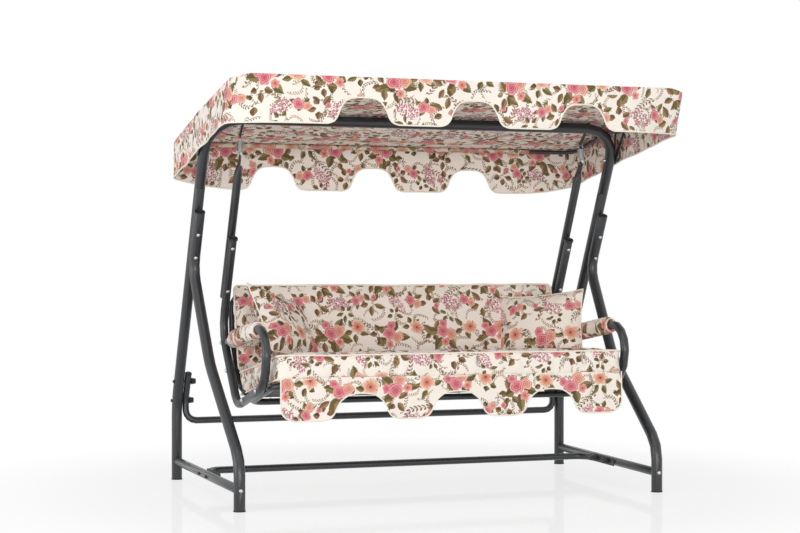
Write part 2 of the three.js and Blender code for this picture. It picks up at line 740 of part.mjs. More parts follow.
// The wire's lower end drops from the coil and crosses under the top of the link
function springTail(at, radius) {
  const barZ = HOOK_PIVOT_Z + LINK_RING - WIRE - FIT;
  const drop = COIL_END_Z - barZ;
  const tailShares = [[0.35, 0.95, 0.9], [0.05, 0.78, 0.55], [0, 0.5, 0.1], [0, 0, 0], [0, -0.62, 0]];
  return tailShares.map(([x, y, z]) => at(x * radius, y * radius, barZ + z * drop));
}

// The least distance between parts of one wire that are more than a half turn apart
function leastGap(path, diameter) {
  let least = Infinity;
  for (let first = 0; first < path.length; first += 1) {
    for (let second = first + 5; second < path.length; second += 1) {
      least = Math.min(least, path[first].distanceTo(path[second]));
    }
  }
  return least - diameter;
}

console.log(`spring wire, least gap to itself: ${leastGap(springPath(1), WIRE).toFixed(2)} mm`);

function link(side) {
  const ring = new THREE.TorusGeometry(LINK_RING / 2, WIRE / 2, WIRE_SIDES, LOOP_STEPS);
  ring.rotateX(Math.PI / 2);
  ring.translate(side * ARM_X, PIVOT_Y, HOOK_PIVOT_Z + LINK_RING / 2);
  return sealed(ring);
}

SIDES.forEach(([name, side]) => {
  add(`${name}_spring`, rod(springPath(side), WIRE, WIRE_SIDES), 'zinc');
  add(`${name}_link`, link(side), 'zinc');
});

// Seat arms: the hanger behind, the lower arm in front, bolted where they lap
const armLean = Math.atan(ARM_SLOPE);
const upArm = point(0, -Math.sin(armLean), Math.cos(armLean));
const acrossArm = point(0, Math.cos(armLean), Math.sin(armLean));
const armLap = (ARM_TUBE + FIT) / Math.cos(armLean);

function hangerY(z) {
  return PIVOT_Y + (HOOK_PIVOT_Z - z) * ARM_SLOPE;
}

function armY(z) {
  return hangerY(z) - armLap;
}

function armBoltPlace(side, z) {
  return point(side * ARM_X, armY(z), z);
}

function hanger(side) {
  const section = { diameter: ARM_TUBE, wall: ARM_WALL, widen: 1.22 };
  const pivot = point(side * ARM_X, hangerY(HOOK_PIVOT_Z - WIRE / 2), HOOK_PIVOT_Z - WIRE / 2);
  const head = pivot.clone().addScaledVector(upArm, HANGER_TONGUE);
  const foot = point(side * ARM_X, hangerY(HANGER_FOOT_Z), HANGER_FOOT_Z);
  const stations = withStops([head, foot], [HANGER_TONGUE, HANGER_FLAT, HANGER_FLAT + FLAT_TAPER]);
  const geometry = tube(stations, ARM_TUBE, ARM_WALL, TUBE_SIDES);
  const down = upArm.clone().negate();
  flatten(geometry, head, down, HANGER_FLAT, section, 0);
  reshapeEnd(geometry, head, down, FIT, ARM_TUBE, (offset) => {
    const across = offset.x;
    offset.multiplyScalar(0.5);
    offset.x = across;
  });
  const holes = ARM_BOLT_ZS.map((z) => {
    const place = armBoltPlace(side, z).addScaledVector(acrossArm, ARM_TUBE + FIT);
    return boltHole(place, acrossArm, ARM_TUBE * 1.5);
  });
  holes.push(drill(pivot, point(1, 0, 0), LUG_HOLE, ARM_TUBE));
  return cut(geometry, holes);
}

// Collar cap of the lower arm, notched where the hanger runs behind it
function armCap(side) {
  const head = point(side * ARM_X, armY(ARM_HEAD_Z), ARM_HEAD_Z);
  const start = point(side * ARM_X, hangerY(HANGER_FOOT_Z), HANGER_FOOT_Z);
  const end = point(side * ARM_X, hangerY(LEG_BOLT_ZS[0] + ARM_TUBE), LEG_BOLT_ZS[0] + ARM_TUBE);
  const cap = insertCap(head, upArm, ARM_TUBE, ARM_WALL, ARM_CAP);
  return cut(cap, [rod([start, end], ARM_TUBE + 2 * FIT, TUBE_SIDES)]);
}

const loopSlope = (LOOP_TOP_Z - LOOP_END_Z) / (LOOP_END_Y - LOOP_FRONT_Y);
const seatSlope = 0.235;

// Height of the sloping seat plane, which holds the lower runs of the armrests
function seatPlaneZ(y) {
  return HEEL_Z + (HEEL_Y - y) * seatSlope;
}

const seatRun = point(0, -1, seatSlope).normalize();

function armJoint(side) {
  return point(side * ARM_X, ARM_JOINT_Y, seatPlaneZ(ARM_JOINT_Y));
}

function lowerArm(side) {
  const head = point(side * ARM_X, armY(ARM_HEAD_Z), ARM_HEAD_Z);
  const elbow = point(side * ARM_X, armY(ELBOW_Z), ELBOW_Z);
  const heel = point(side * ARM_X, HEEL_Y, HEEL_Z);
  const tip = armJoint(side).addScaledVector(seatRun, ARM_NECK);
  const path = route([head, elbow, heel, tip], [ELBOW_BEND, HEEL_BEND]).reverse();
  const neck = ARM_NECK + FIT;
  const geometry = tube(withStops(path, [neck, neck + FIT]), ARM_TUBE, ARM_WALL, TUBE_SIDES);
  neckDown(geometry, tip, seatRun.clone().negate(), neck, ARM_TUBE, ARM_WALL);
  const holes = ARM_BOLT_ZS.map((z) => boltHole(armBoltPlace(side, z), acrossArm, ARM_TUBE * 1.5));
  return cut(geometry, holes);
}

function armrestTopRun() {
  return point(0, LOOP_END_Y - LOOP_FRONT_Y, LOOP_END_Z - LOOP_TOP_Z).normalize();
}

// Armrest: one tube from the arm's tip forwards, up and back to the arm
function armrest(side) {
  const section = { diameter: ARM_TUBE, wall: ARM_WALL, widen: 1.15 };
  const low = point(side * ARM_X, LOOP_FRONT_Y, seatPlaneZ(LOOP_FRONT_Y));
  const high = point(side * ARM_X, LOOP_FRONT_Y, LOOP_TOP_Z);
  const end = point(side * ARM_X, LOOP_END_Y, LOOP_END_Z).addScaledVector(armrestTopRun(), ARM_TUBE / 2);
  const bends = [LOOP_LOW_BEND, LOOP_TOP_BEND];
  const path = route([armJoint(side), low, high, end], bends).reverse();
  const flat = LOOP_FLAT;
  const geometry = tube(withStops(path, [flat, flat + FLAT_TAPER]), ARM_TUBE, ARM_WALL, TUBE_SIDES);
  const inward = armrestTopRun().negate();
  const thick = ARM_WALL + FLAT_SLIT / 2;
  flatten(geometry, end, inward, flat, section, -side * (ARM_TUBE / 2 + FIT + thick));
  return geometry;
}

function armrestPad(side) {
  const start = point(side * ARM_X, PAD_FRONT_Y, armrestZ(PAD_FRONT_Y));
  const end = point(side * ARM_X, PAD_REAR_Y, armrestZ(PAD_REAR_Y));
  const outline = polygon(PAD_WIDE / 2, TUBE_SIDES);
  outline.forEach((corner) => corner.set(corner.x * (PAD_TALL / PAD_WIDE), corner.y));
  const shape = new THREE.Shape(outline);
  const bore = ARM_TUBE / 2 + FIT;
  shape.holes.push(new THREE.Path(polygon(bore, TUBE_SIDES).reverse()));
  const stations = withStopsAtBothEnds([start, end], [PAD_WIDE / 4]);
  const geometry = sweep(shape, stations);
  const run = end.clone().sub(start).normalize();
  [[start, run], [end, run.clone().negate()]].forEach(([place, inward]) => {
    reshapeEnd(geometry, place, inward, FIT, PAD_TALL, (offset) => {
      if (offset.length() > bore * 1.02) {
        offset.multiplyScalar(PAD_END_SHARE);
      }
    });
  });
  return geometry;
}

function armrestZ(y) {
  return LOOP_TOP_Z - (y - LOOP_FRONT_Y) * loopSlope;
}

SIDES.forEach(([name, side]) => {
  add(`${name}_hanger`, hanger(side), 'coat');
  add(`${name}_lower_arm`, lowerArm(side), 'coat');
  add(`${name}_armrest`, armrest(side), 'coat');
  add(`${name}_armrest_pad`, armrestPad(side), 'print');
  add(`${name}_arm_cap`, armCap(side), 'plastic');
  ARM_BOLT_ZS.forEach((z, index) => {
    const start = armBoltPlace(side, z).addScaledVector(acrossArm, -ARM_TUBE / 2);
    add(`${name}_arm_bolt_${index + 1}`, bolt(start, acrossArm, 2 * ARM_TUBE + FIT, CAP_NUT), 'zinc');
  });
});

// Seat frame: a ring in the seat plane whose ends butt in the middle of the rear rail
const railX = ARM_X - ARM_TUBE / 2 - FIT - SEAT_RAIL / 2;

function onSeatPlane(x, y) {
  return point(x, y, seatPlaneZ(y));
}

function seatFrame() {
  const corners = [
    onSeatPlane(-FIT, SEAT_REAR_Y),
    onSeatPlane(-railX, SEAT_REAR_Y),
    onSeatPlane(-railX, SEAT_FRONT_Y),
    onSeatPlane(railX, SEAT_FRONT_Y),
    onSeatPlane(railX, SEAT_REAR_Y),
    onSeatPlane(FIT, SEAT_REAR_Y),
  ];
  const bends = [SEAT_CORNER, SEAT_CORNER, SEAT_CORNER, SEAT_CORNER];
  return tube(route(corners, bends), SEAT_RAIL, SEAT_RAIL_WALL, THIN_SIDES);
}

add('seat_frame', seatFrame(), 'coat');

// Back frame: a bow that runs up inside both arms and across under the cushion's top edge
const armrestFlatThick = 2 * ARM_WALL + FLAT_SLIT;
const backX = ARM_X - ARM_TUBE / 2 - 2 * FIT - armrestFlatThick - BACK_TUBE / 2;

function backPath() {
  const rise = (side) => [
    point(side * backX, BACK_FOOT_Y, BACK_FOOT_Z),
    point(side * backX, BACK_HEEL_Y, BACK_HEEL_Z),
    point(side * backX, BACK_WAIST_Y, BACK_WAIST_Z),
    point(side * backX, BACK_TOP_Y, BACK_TOP_Z),
  ];
  const corners = [...rise(-1), ...rise(1).reverse()];
  const bends = [BACK_CORNER, BACK_CORNER * 2, BACK_CORNER, BACK_CORNER, BACK_CORNER * 2, BACK_CORNER];
  return route(corners, bends);
}

add('back_frame', tube(backPath(), BACK_TUBE, SEAT_RAIL_WALL, THIN_SIDES), 'coat');

// Seat mesh: a flat panel held on the ring by tabs along its sides
function seatMesh() {
  const run = (SEAT_REAR_Y - SEAT_FRONT_Y) * Math.hypot(1, seatSlope);
  const halfWide = railX - MESH_INSET;
  const halfDeep = run / 2 - MESH_INSET;
  const reach = MESH_INSET + SEAT_RAIL / 4;
  const shape = new THREE.Shape();
  shape.moveTo(-halfWide, -halfDeep);
  const comb = (fromX, fromY, toX, toY, outX, outY, tabs) => {
    const span = Math.hypot(toX - fromX, toY - fromY);
    const ux = (toX - fromX) / span;
    const uy = (toY - fromY) / span;
    for (let tab = 0; tab < tabs; tab += 1) {
      const middle = ((tab + 1) / (tabs + 1)) * span;
      const near = middle - MESH_TAB / 4;
      const far = middle + MESH_TAB / 4;
      shape.lineTo(fromX + ux * near, fromY + uy * near);
      shape.lineTo(fromX + ux * near + outX * reach, fromY + uy * near + outY * reach);
      shape.lineTo(fromX + ux * far + outX * reach, fromY + uy * far + outY * reach);
      shape.lineTo(fromX + ux * far, fromY + uy * far);
    }
    shape.lineTo(toX, toY);
  };
  const sideTabs = Math.round(MESH_TABS / 3);
  comb(-halfWide, -halfDeep, halfWide, -halfDeep, 0, -1, MESH_TABS);
  comb(halfWide, -halfDeep, halfWide, halfDeep, 1, 0, sideTabs);
  comb(halfWide, halfDeep, -halfWide, halfDeep, 0, 1, MESH_TABS);
  comb(-halfWide, halfDeep, -halfWide, -halfDeep, -1, 0, sideTabs);
  const panel = sealed(new THREE.ExtrudeGeometry(shape, { depth: MESH_THICK, bevelEnabled: false }));
  panel.translate(0, 0, SEAT_RAIL / 2 + FIT);
  panel.rotateX(-Math.atan(seatSlope));
  const middleY = (SEAT_FRONT_Y + SEAT_REAR_Y) / 2;
  panel.translate(0, middleY, seatPlaneZ(middleY));
  return panel;
}

add('seat_mesh', seatMesh(), 'mesh');

// A stuffed box: crowned faces, sides drawn in between the corners
function stuffedBox(wide, deep, thick, cells) {
  const box = sealed(new THREE.BoxGeometry(wide, deep, thick, cells[0], cells[1], cells[2]));
  const places = box.attributes.position;
  for (let index = 0; index < places.count; index += 1) {
    const u = (places.getX(index) / wide) * 2;
    const v = (places.getY(index) / deep) * 2;
    const w = (places.getZ(index) / thick) * 2;
    const crown = 1 - CROWN_SHARE + CROWN_SHARE * Math.sqrt(Math.max(0, (1 - u ** 8) * (1 - v ** 4)));
    const waist = 1 - w * w;
    const x = places.getX(index) - Math.sign(u) * Math.abs(u) ** 6 * waist * wide * DRAW_SHARE * 0.5;
    const y = places.getY(index) - Math.sign(v) * Math.abs(v) ** 6 * waist * thick * DRAW_SHARE * 4;
    const pull = 1 - DRAW_SHARE * (1 - v * v) * Math.abs(u) ** 6;
    places.setXYZ(index, x * pull, y, places.getZ(index) * crown);
  }
  return box;
}

function seatCushion() {
  const slope = Math.atan(SEAT_PAD_SLOPE);
  const deep = (SEAT_PAD_REAR_Y - SEAT_PAD_FRONT_Y) * Math.cos(slope);
  const pad = stuffedBox(2 * SEAT_PAD_HALF, deep, SEAT_PAD_THICK, [14, 6, 2]);
  pad.translate(0, deep / 2, SEAT_PAD_THICK / 2);
  pad.rotateX(-slope);
  pad.translate(0, SEAT_PAD_FRONT_Y, SEAT_PAD_Z);
  return cut(pad, [rod(backPath(), BACK_TUBE + 2 * WRAP_PLAY, THIN_SIDES)]);
}

// Back cushion: its top edge has a pocket that the back frame runs through
function backCushion() {
  const lean = Math.atan2(BACK_PAD_TOP_Y - BACK_PAD_FOOT_Y, BACK_PAD_TOP_Z - BACK_PAD_FOOT_Z);
  const tall = Math.hypot(BACK_PAD_TOP_Y - BACK_PAD_FOOT_Y, BACK_PAD_TOP_Z - BACK_PAD_FOOT_Z);
  const pad = stuffedBox(2 * BACK_PAD_HALF, tall, BACK_PAD_THICK, [14, 6, 2]);
  pad.translate(0, tall / 2, 0);
  pad.rotateX(Math.PI / 2 - lean);
  pad.translate(0, BACK_PAD_FOOT_Y, BACK_PAD_FOOT_Z);
  return cut(pad, [rod(backPath(), BACK_TUBE + 2 * WRAP_PLAY, THIN_SIDES)]);
}

add('seat_cushion', seatCushion(), 'print');
add('back_cushion', backCushion(), 'print');

// How far the lower edge rises at a place across: round arches between hanging lobes
function archRise(x, pitch, half, power) {
  const nearest = Math.max(-1, Math.min(1, Math.round(x / pitch))) * pitch;
  const share = Math.min(1, Math.abs(x - nearest) / half);
  return (1 - share ** power) ** (1 / power);
}

// Places across one scalloped edge: dense in the arches, sparse on the lobes
function archPlaces(edge, pitch, half, steps, off = 0) {
  const places = [-edge];
  [off - pitch, off, off + pitch].forEach((middle) => {
    for (let step = 0; step <= steps; step += 1) {
      places.push(middle - half * Math.cos((Math.PI * step) / steps));
    }
  });
  places.push(edge);
  return places;
}

function skirt() {
  const shape = new THREE.Shape();
  const foot = SKIRT_TOP_Z - SKIRT_DROP;
  shape.moveTo(-SKIRT_HALF, SKIRT_TOP_Z);
  shape.lineTo(-SKIRT_HALF, foot + SKIRT_CORNER);
  shape.quadraticCurveTo(-SKIRT_HALF, foot, -SKIRT_HALF + SKIRT_CORNER, foot);
  const places = archPlaces(SKIRT_HALF, SKIRT_ARCH_PITCH, SKIRT_ARCH_HALF, 10).slice(1, -1);
  places.forEach((x) => {
    shape.lineTo(x, foot + SKIRT_ARCH * archRise(x, SKIRT_ARCH_PITCH, SKIRT_ARCH_HALF, 2));
  });
  shape.lineTo(SKIRT_HALF - SKIRT_CORNER, foot);
  shape.quadraticCurveTo(SKIRT_HALF, foot, SKIRT_HALF, foot + SKIRT_CORNER);
  shape.lineTo(SKIRT_HALF, SKIRT_TOP_Z);
  const options = { depth: CLOTH, bevelEnabled: false, curveSegments: 4 };
  const sheet = sealed(new THREE.ExtrudeGeometry(shape, options));
  sheet.rotateX(Math.PI / 2);
  sheet.translate(0, SEAT_PAD_FRONT_Y + 2 * FIT, 0);
  return sheet;
}

add('skirt', skirt(), 'print');

// A throw pillow: full in the middle, thin along its sewn edge
function pillow(place, tilt, turn) {
  const cells = 8;
  const box = sealed(new THREE.BoxGeometry(PILLOW_SIDE, PILLOW_HEIGHT, PILLOW_THICK, cells, cells, 2));
  const places = box.attributes.position;
  for (let index = 0; index < places.count; index += 1) {
    const u = (places.getX(index) / PILLOW_SIDE) * 2;
    const v = (places.getY(index) / PILLOW_HEIGHT) * 2;
    const fill = Math.max(0, (1 - Math.abs(u) ** 3) * (1 - Math.abs(v) ** 3)) ** 0.6;
    const thick = (PILLOW_SEAM + (PILLOW_THICK - PILLOW_SEAM) * fill) / PILLOW_THICK;
    const pullX = 1 - 0.06 * (1 - v * v) * u * u;
    const pullY = 1 - 0.08 * (1 - u * u) * v * v;
    places.setXYZ(index, places.getX(index) * pullX, places.getY(index) * pullY, places.getZ(index) * thick);
  }
  box.rotateZ(THREE.MathUtils.degToRad(tilt));
  box.rotateX(THREE.MathUtils.degToRad(90 - PILLOW_LEAN));
  box.rotateZ(THREE.MathUtils.degToRad(turn));
  box.translate(place.x, place.y, place.z);
  return box;
}

const leftPillowPlace = point(LEFT_PILLOW_IN - SEAT_PAD_HALF, LEFT_PILLOW_Y, LEFT_PILLOW_Z);
const rightPillowPlace = point(SEAT_PAD_HALF - RIGHT_PILLOW_IN, RIGHT_PILLOW_Y, RIGHT_PILLOW_Z);
add('left_pillow', pillow(leftPillowPlace, LEFT_PILLOW_TILT, LEFT_PILLOW_TURN), 'print');
add('right_pillow', pillow(rightPillowPlace, RIGHT_PILLOW_TILT, RIGHT_PILLOW_TURN), 'print');

// Canopy: the height of its cloth, which lies over the top bar like a low ridge
function canopyZ(y) {
  const edgeY = y < TOP_BAR_Y ? CANOPY_FRONT_Y : CANOPY_REAR_Y;
  const edgeZ = y < TOP_BAR_Y ? CANOPY_FRONT_Z : CANOPY_REAR_Z;
  return THREE.MathUtils.lerp(CANOPY_RIDGE_Z, edgeZ, (y - TOP_BAR_Y) / (edgeY - TOP_BAR_Y));
}

// The rim of the canopy in plan, with how far the hem rises into an arch at each place
function canopyRim(inset) {
  const rim = [];
  const round = CANOPY_CORNER - inset;
  const sideX = CANOPY_HALF - inset;
  const straight = CANOPY_HALF - CANOPY_CORNER;
  const frontY = CANOPY_FRONT_Y + CANOPY_CORNER;
  const rearY = CANOPY_REAR_Y - CANOPY_CORNER;
  const addCorner = (cx, cy, from) => {
    for (let step = 1; step < 3; step += 1) {
      const angle = from + (Math.PI / 6) * step;
      rim.push([cx + Math.cos(angle) * round, cy + Math.sin(angle) * round, 0]);
    }
  };
  const edge = (y, off) => {
    const places = archPlaces(straight, VALANCE_ARCH_PITCH, VALANCE_ARCH_HALF, 8, off);
    const between = (from, to) => [1, 2, 3].map((step) => THREE.MathUtils.lerp(from, to, step / 4));
    const last = places.length - 1;
    places.splice(last, 0, ...between(places[last - 1], places[last]));
    places.splice(1, 0, ...between(places[0], places[1]));
    const rise = (x) => archRise(x - off, VALANCE_ARCH_PITCH, VALANCE_ARCH_HALF, 2.4) * VALANCE_ARCH;
    return places.map((x) => [x, y, rise(x)]);
  };
  rim.push(...edge(frontY - round, VALANCE_FRONT_OFF));
  addCorner(straight, frontY, -Math.PI / 2);
  rim.push([sideX, frontY, 0], [sideX, TOP_BAR_Y, 0], [sideX, rearY, 0]);
  addCorner(straight, rearY, 0);
  rim.push(...edge(rearY + round, VALANCE_REAR_OFF).reverse());
  addCorner(-straight, rearY, Math.PI / 2);
  rim.push([-sideX, rearY, 0], [-sideX, TOP_BAR_Y, 0], [-sideX, frontY, 0]);
  addCorner(-straight, frontY, Math.PI);
  return rim;
}

// How far a place lies from the canopy's front edge towards its rear edge, 0 to 1
function canopyShare(y) {
  return (y - CANOPY_FRONT_Y) / (CANOPY_REAR_Y - CANOPY_FRONT_Y);
}

// The top edge over a stop of the rim
function canopyEdge([x, y]) {
  const narrow = (CANOPY_TAPER * (1 - canopyShare(y))) / CANOPY_HALF;
  return [x * (1 - narrow), y, canopyZ(y)];
}

// The hem under a stop of the rim: the short ends draw its corners back and up
function canopyHem([x, y, rise]) {
  const near = Math.max(0, 1 - (CANOPY_HALF - Math.abs(x)) / HEM_REACH) ** 2;
  const pull = HEM_PULL * near * (1 - canopyShare(y));
  const lift = HEM_LIFT * near * canopyShare(y);
  return [x, y + pull, canopyZ(y) - valanceDrop(y) + lift + rise];
}

function valanceDrop(y) {
  return THREE.MathUtils.lerp(VALANCE_DROP, VALANCE_REAR_DROP, canopyShare(y));
}

// One closed shell: cloth top, valance all round, the space under it open
function canopyCover() {
  const outer = canopyRim(0);
  const inner = canopyRim(CANOPY_SHEET);
  const count = outer.length;
  const places = [];
  const faces = [];
  outer.forEach((stop) => places.push(...canopyEdge(stop)));
  outer.forEach((stop) => places.push(...canopyHem(stop)));
  inner.forEach(([x, y], index) => {
    const [, hemY, hemZ] = canopyHem(outer[index]);
    places.push(x, y + hemY - outer[index][1], hemZ);
  });
  inner.forEach((stop) => {
    const [x, y, z] = canopyEdge(stop);
    places.push(x, y, z - CANOPY_SHEET);
  });
  for (let ring = 0; ring < 3; ring += 1) {
    for (let index = 0; index < count; index += 1) {
      const next = (index + 1) % count;
      const [a, b] = [ring * count + index, ring * count + next];
      const [c, d] = [a + count, b + count];
      const halves = ring === 2 ? [a, c, d, a, d, b] : [a, c, b, b, c, d];
      faces.push(...halves);
    }
  }
  const halves = [outer.map((stop, index) => index), outer.map((stop, index) => index)];
  halves[0] = halves[0].filter((index) => outer[index][1] <= TOP_BAR_Y);
  halves[1] = halves[1].filter((index) => outer[index][1] >= TOP_BAR_Y);
  halves.forEach((half) => {
    const flat = half.map((index) => new THREE.Vector2(outer[index][0], outer[index][1]));
    THREE.ShapeUtils.triangulateShape(flat, []).forEach(([a, b, c]) => {
      faces.push(half[a], half[b], half[c]);
      faces.push(3 * count + half[c], 3 * count + half[b], 3 * count + half[a]);
    });
  });
  const geometry = new THREE.BufferGeometry();
  geometry.setAttribute('position', new THREE.Float32BufferAttribute(places, 3));
  geometry.setIndex(faces);
  return geometry;
}

// Canopy frame: a ring under the cloth, with a welded strap each side down to its pivot
const strapX = HALF_SPREAD + STAND_TUBE / 2 + FIT + STRAP_THICK / 2;

function canopyTubeZ(y) {
  const frontZ = canopyZ(CANOPY_FRONT_Y + CANOPY_TUBE_INSET);
  const rearZ = canopyZ(CANOPY_REAR_Y - CANOPY_TUBE_INSET);
  const span = CANOPY_REAR_Y - CANOPY_FRONT_Y - 2 * CANOPY_TUBE_INSET;
  const share = (y - CANOPY_FRONT_Y - CANOPY_TUBE_INSET) / span;
  return THREE.MathUtils.lerp(frontZ, rearZ, share) - CANOPY_SHEET - FIT - (CANOPY_TUBE / 2) * 1.03;
}

function strap(side) {
  const topZ = canopyTubeZ(STRAP_TOP_Y) - CANOPY_TUBE / 2;
  const shape = new THREE.Shape();
  const [near, far] = [STRAP_TOP_Y - STRAP_TOP / 2, STRAP_TOP_Y + STRAP_TOP / 2];
  shape.moveTo(CANOPY_PIVOT_Y - STRAP_EYE / 2, CANOPY_PIVOT_Z);
  shape.absarc(CANOPY_PIVOT_Y, CANOPY_PIVOT_Z, STRAP_EYE / 2, Math.PI, Math.PI * 2, false);
  shape.lineTo(far + STRAP_WIDE / 2, topZ);
  shape.lineTo(near, topZ);
  const window = new THREE.Path();
  window.moveTo(CANOPY_PIVOT_Y, CANOPY_PIVOT_Z + STRAP_EYE * 0.8);
  window.lineTo(near + STRAP_WIDE * 1.3, topZ - STRAP_WIDE * 0.7);
  window.lineTo(far - STRAP_WIDE * 0.4, topZ - STRAP_WIDE * 0.7);
  window.closePath();
  shape.holes.push(window);
  const options = { depth: STRAP_THICK, bevelEnabled: false, curveSegments: 8 };
  const plate = sealed(new THREE.ExtrudeGeometry(shape, options));
  plate.rotateX(Math.PI / 2);
  plate.rotateZ(Math.PI / 2);
  plate.translate(side * strapX - STRAP_THICK / 2, 0, 0);
  const shelfWide = strapX + STRAP_THICK / 2 - CANOPY_TUBE_SIDE + CANOPY_TUBE / 4;
  const shelf = sealed(new THREE.BoxGeometry(shelfWide, STRAP_TOP, STRAP_THICK));
  const shelfX = strapX + STRAP_THICK / 2 - shelfWide / 2;
  shelf.rotateX(-Math.atan((CANOPY_FRONT_Z - CANOPY_REAR_Z) / (CANOPY_REAR_Y - CANOPY_FRONT_Y)));
  shelf.translate(side * shelfX, STRAP_TOP_Y, topZ - STRAP_THICK / 2 + WELD);
  const hole = boltHole(canopyPivot(side).setX(side * strapX), point(1, 0, 0), STRAP_THICK * 4);
  return cut(join(plate, [shelf]), [hole]);
}

function canopyFrame() {
  const frontY = CANOPY_FRONT_Y + CANOPY_TUBE_INSET;
  const rearY = CANOPY_REAR_Y - CANOPY_TUBE_INSET;
  const at = (x, y) => point(x, y, canopyTubeZ(y));
  const side = CANOPY_TUBE_SIDE;
  const corners = [at(-FIT, rearY), at(-side, rearY), at(-side, frontY), at(side, frontY), at(side, rearY), at(FIT, rearY)];
  const bends = [CANOPY_TUBE_CORNER, CANOPY_TUBE_CORNER, CANOPY_TUBE_CORNER, CANOPY_TUBE_CORNER];
  const ring = tube(route(corners, bends), CANOPY_TUBE, CANOPY_WALL, THIN_SIDES);
  return join(ring, SIDES.map(([, one]) => strap(one)));
}

add('canopy_cover', canopyCover(), 'print');
add('canopy_frame', canopyFrame(), 'coat');

SIDES.forEach(([name, side]) => {
  const start = canopyPivot(side).setX(side * (strapX + STRAP_THICK / 2));
  const grip = STRAP_THICK + FIT + STAND_TUBE + FIT;
  add(`${name}_canopy_bolt`, bolt(start, point(-side, 0, 0), grip, CAP_NUT), 'zinc');
});

// The origin goes under the middle of the whole, on the floor
const bounds = new THREE.Box3().setFromObject(group);
const middle = bounds.getCenter(new THREE.Vector3());
group.children.forEach((mesh) => mesh.geometry.translate(-middle.x, -middle.y, -bounds.min.z));
console.log(`box ${bounds.max.clone().sub(bounds.min).toArray().map((side) => side.toFixed(1)).join(' x ')} mm`);
console.log(`shift ${(-middle.y).toFixed(3)} ${(-bounds.min.z).toFixed(3)} mm`);
const triangles = group.children.map((mesh) => mesh.geometry.index.count / 3);
console.log(`${triangles.length} meshes, ${triangles.reduce((sum, each) => sum + each, 0)} triangles`);

export default group;
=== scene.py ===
"""The looks of a hanging garden seat: its stand, springs, seat, cushions, skirt and canopy."""

import json
import math

import bmesh
import bpy
from bpy.props import FloatProperty, FloatVectorProperty, IntProperty, PointerProperty
from bpy.types import Operator, Panel, PropertyGroup
from mathutils import Matrix, Vector, noise


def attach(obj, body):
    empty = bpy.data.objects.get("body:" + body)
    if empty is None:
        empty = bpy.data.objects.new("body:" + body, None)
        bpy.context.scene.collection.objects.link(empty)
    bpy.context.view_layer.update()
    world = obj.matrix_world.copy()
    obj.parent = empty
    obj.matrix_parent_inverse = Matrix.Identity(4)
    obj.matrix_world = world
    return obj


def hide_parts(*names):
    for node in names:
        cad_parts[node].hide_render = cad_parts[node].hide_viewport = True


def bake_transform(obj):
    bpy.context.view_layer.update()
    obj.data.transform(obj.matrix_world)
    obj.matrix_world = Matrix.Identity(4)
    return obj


bl_info = {
    "name": "Garden Swing Seat",
    "version": (1, 0, 0),
    "blender": (4, 5, 0),
    "location": "View3D > Sidebar > Swing Seat",
    "description": "Builds the visible steel, cloth and stuffing of a garden swing seat",
    "category": "Add Mesh",
}

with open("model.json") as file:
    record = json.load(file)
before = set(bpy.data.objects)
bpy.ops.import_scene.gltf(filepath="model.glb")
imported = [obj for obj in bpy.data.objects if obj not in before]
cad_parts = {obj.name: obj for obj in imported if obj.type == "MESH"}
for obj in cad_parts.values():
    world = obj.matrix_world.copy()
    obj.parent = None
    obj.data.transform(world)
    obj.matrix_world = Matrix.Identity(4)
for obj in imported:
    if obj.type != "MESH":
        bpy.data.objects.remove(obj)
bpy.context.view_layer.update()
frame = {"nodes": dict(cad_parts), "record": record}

# Everything is in metres. The part's own depth is counted from the front feet.
FRONT_FEET_Y = -0.48775
ARM_X = 0.8
ARM_TUBE = 0.038
HEEL = (0.556, 0.375)
SEAT_SLOPE = 0.235
ARM_OUTER = ARM_X + ARM_TUBE / 2
ARM_INNER = ARM_X - ARM_TUBE / 2
FIT = 0.0004
SEAT_RAIL = 0.028
SEAT_RAIL_INNER = ARM_INNER - FIT - SEAT_RAIL
PIPING = 0.0038

# Inside a material: once round, and the reach of a chance that may point any way
TURN = 6.28319
ANY_WAY = 6.3


def at(x, y, z):
    """A point whose depth is counted from the front feet."""
    return Vector((x, y + FRONT_FEET_Y, z))


# Numbers and colours inside a material


class Wire:
    """A number in a material's nodes that adds and multiplies like any other."""

    def __init__(self, tree, socket):
        self.tree = tree
        self.socket = socket

    def math(self, kind, *others):
        node = self.tree.nodes.new("ShaderNodeMath")
        node.operation = kind
        for slot, value in zip(node.inputs, (self, *others)):
            plug(self.tree, value, slot)
        return Wire(self.tree, node.outputs[0])

    def __add__(self, other):
        return self.math("ADD", other)

    def __sub__(self, other):
        return self.math("SUBTRACT", other)

    def __mul__(self, other):
        return self.math("MULTIPLY", other)

    def __truediv__(self, other):
        return self.math("DIVIDE", other)

    def __pow__(self, other):
        return self.math("POWER", other)

    def wrap(self, size):
        return self.math("FLOORED_MODULO", size)

    def size(self):
        return self.math("ABSOLUTE")

    def sine(self):
        return self.math("SINE")

    def cosine(self):
        return self.math("COSINE")

    def most(self, other):
        return self.math("MAXIMUM", other)

    def rise(self, low, high):
        """Nought below low, one above high, and smooth between."""
        node = self.tree.nodes.new("ShaderNodeMapRange")
        node.interpolation_type = "SMOOTHSTEP"
        plug(self.tree, self, node.inputs["Value"])
        plug(self.tree, low, node.inputs["From Min"])
        plug(self.tree, high, node.inputs["From Max"])
        return Wire(self.tree, node.outputs["Result"])


def plug(tree, value, slot):
    """Joins a value, a colour or another node's output to a socket."""
    if isinstance(value, Wire):
        tree.links.new(value.socket, slot)
    elif isinstance(value, bpy.types.NodeSocket):
        tree.links.new(value, slot)
    elif value is not None:
        slot.default_value = value


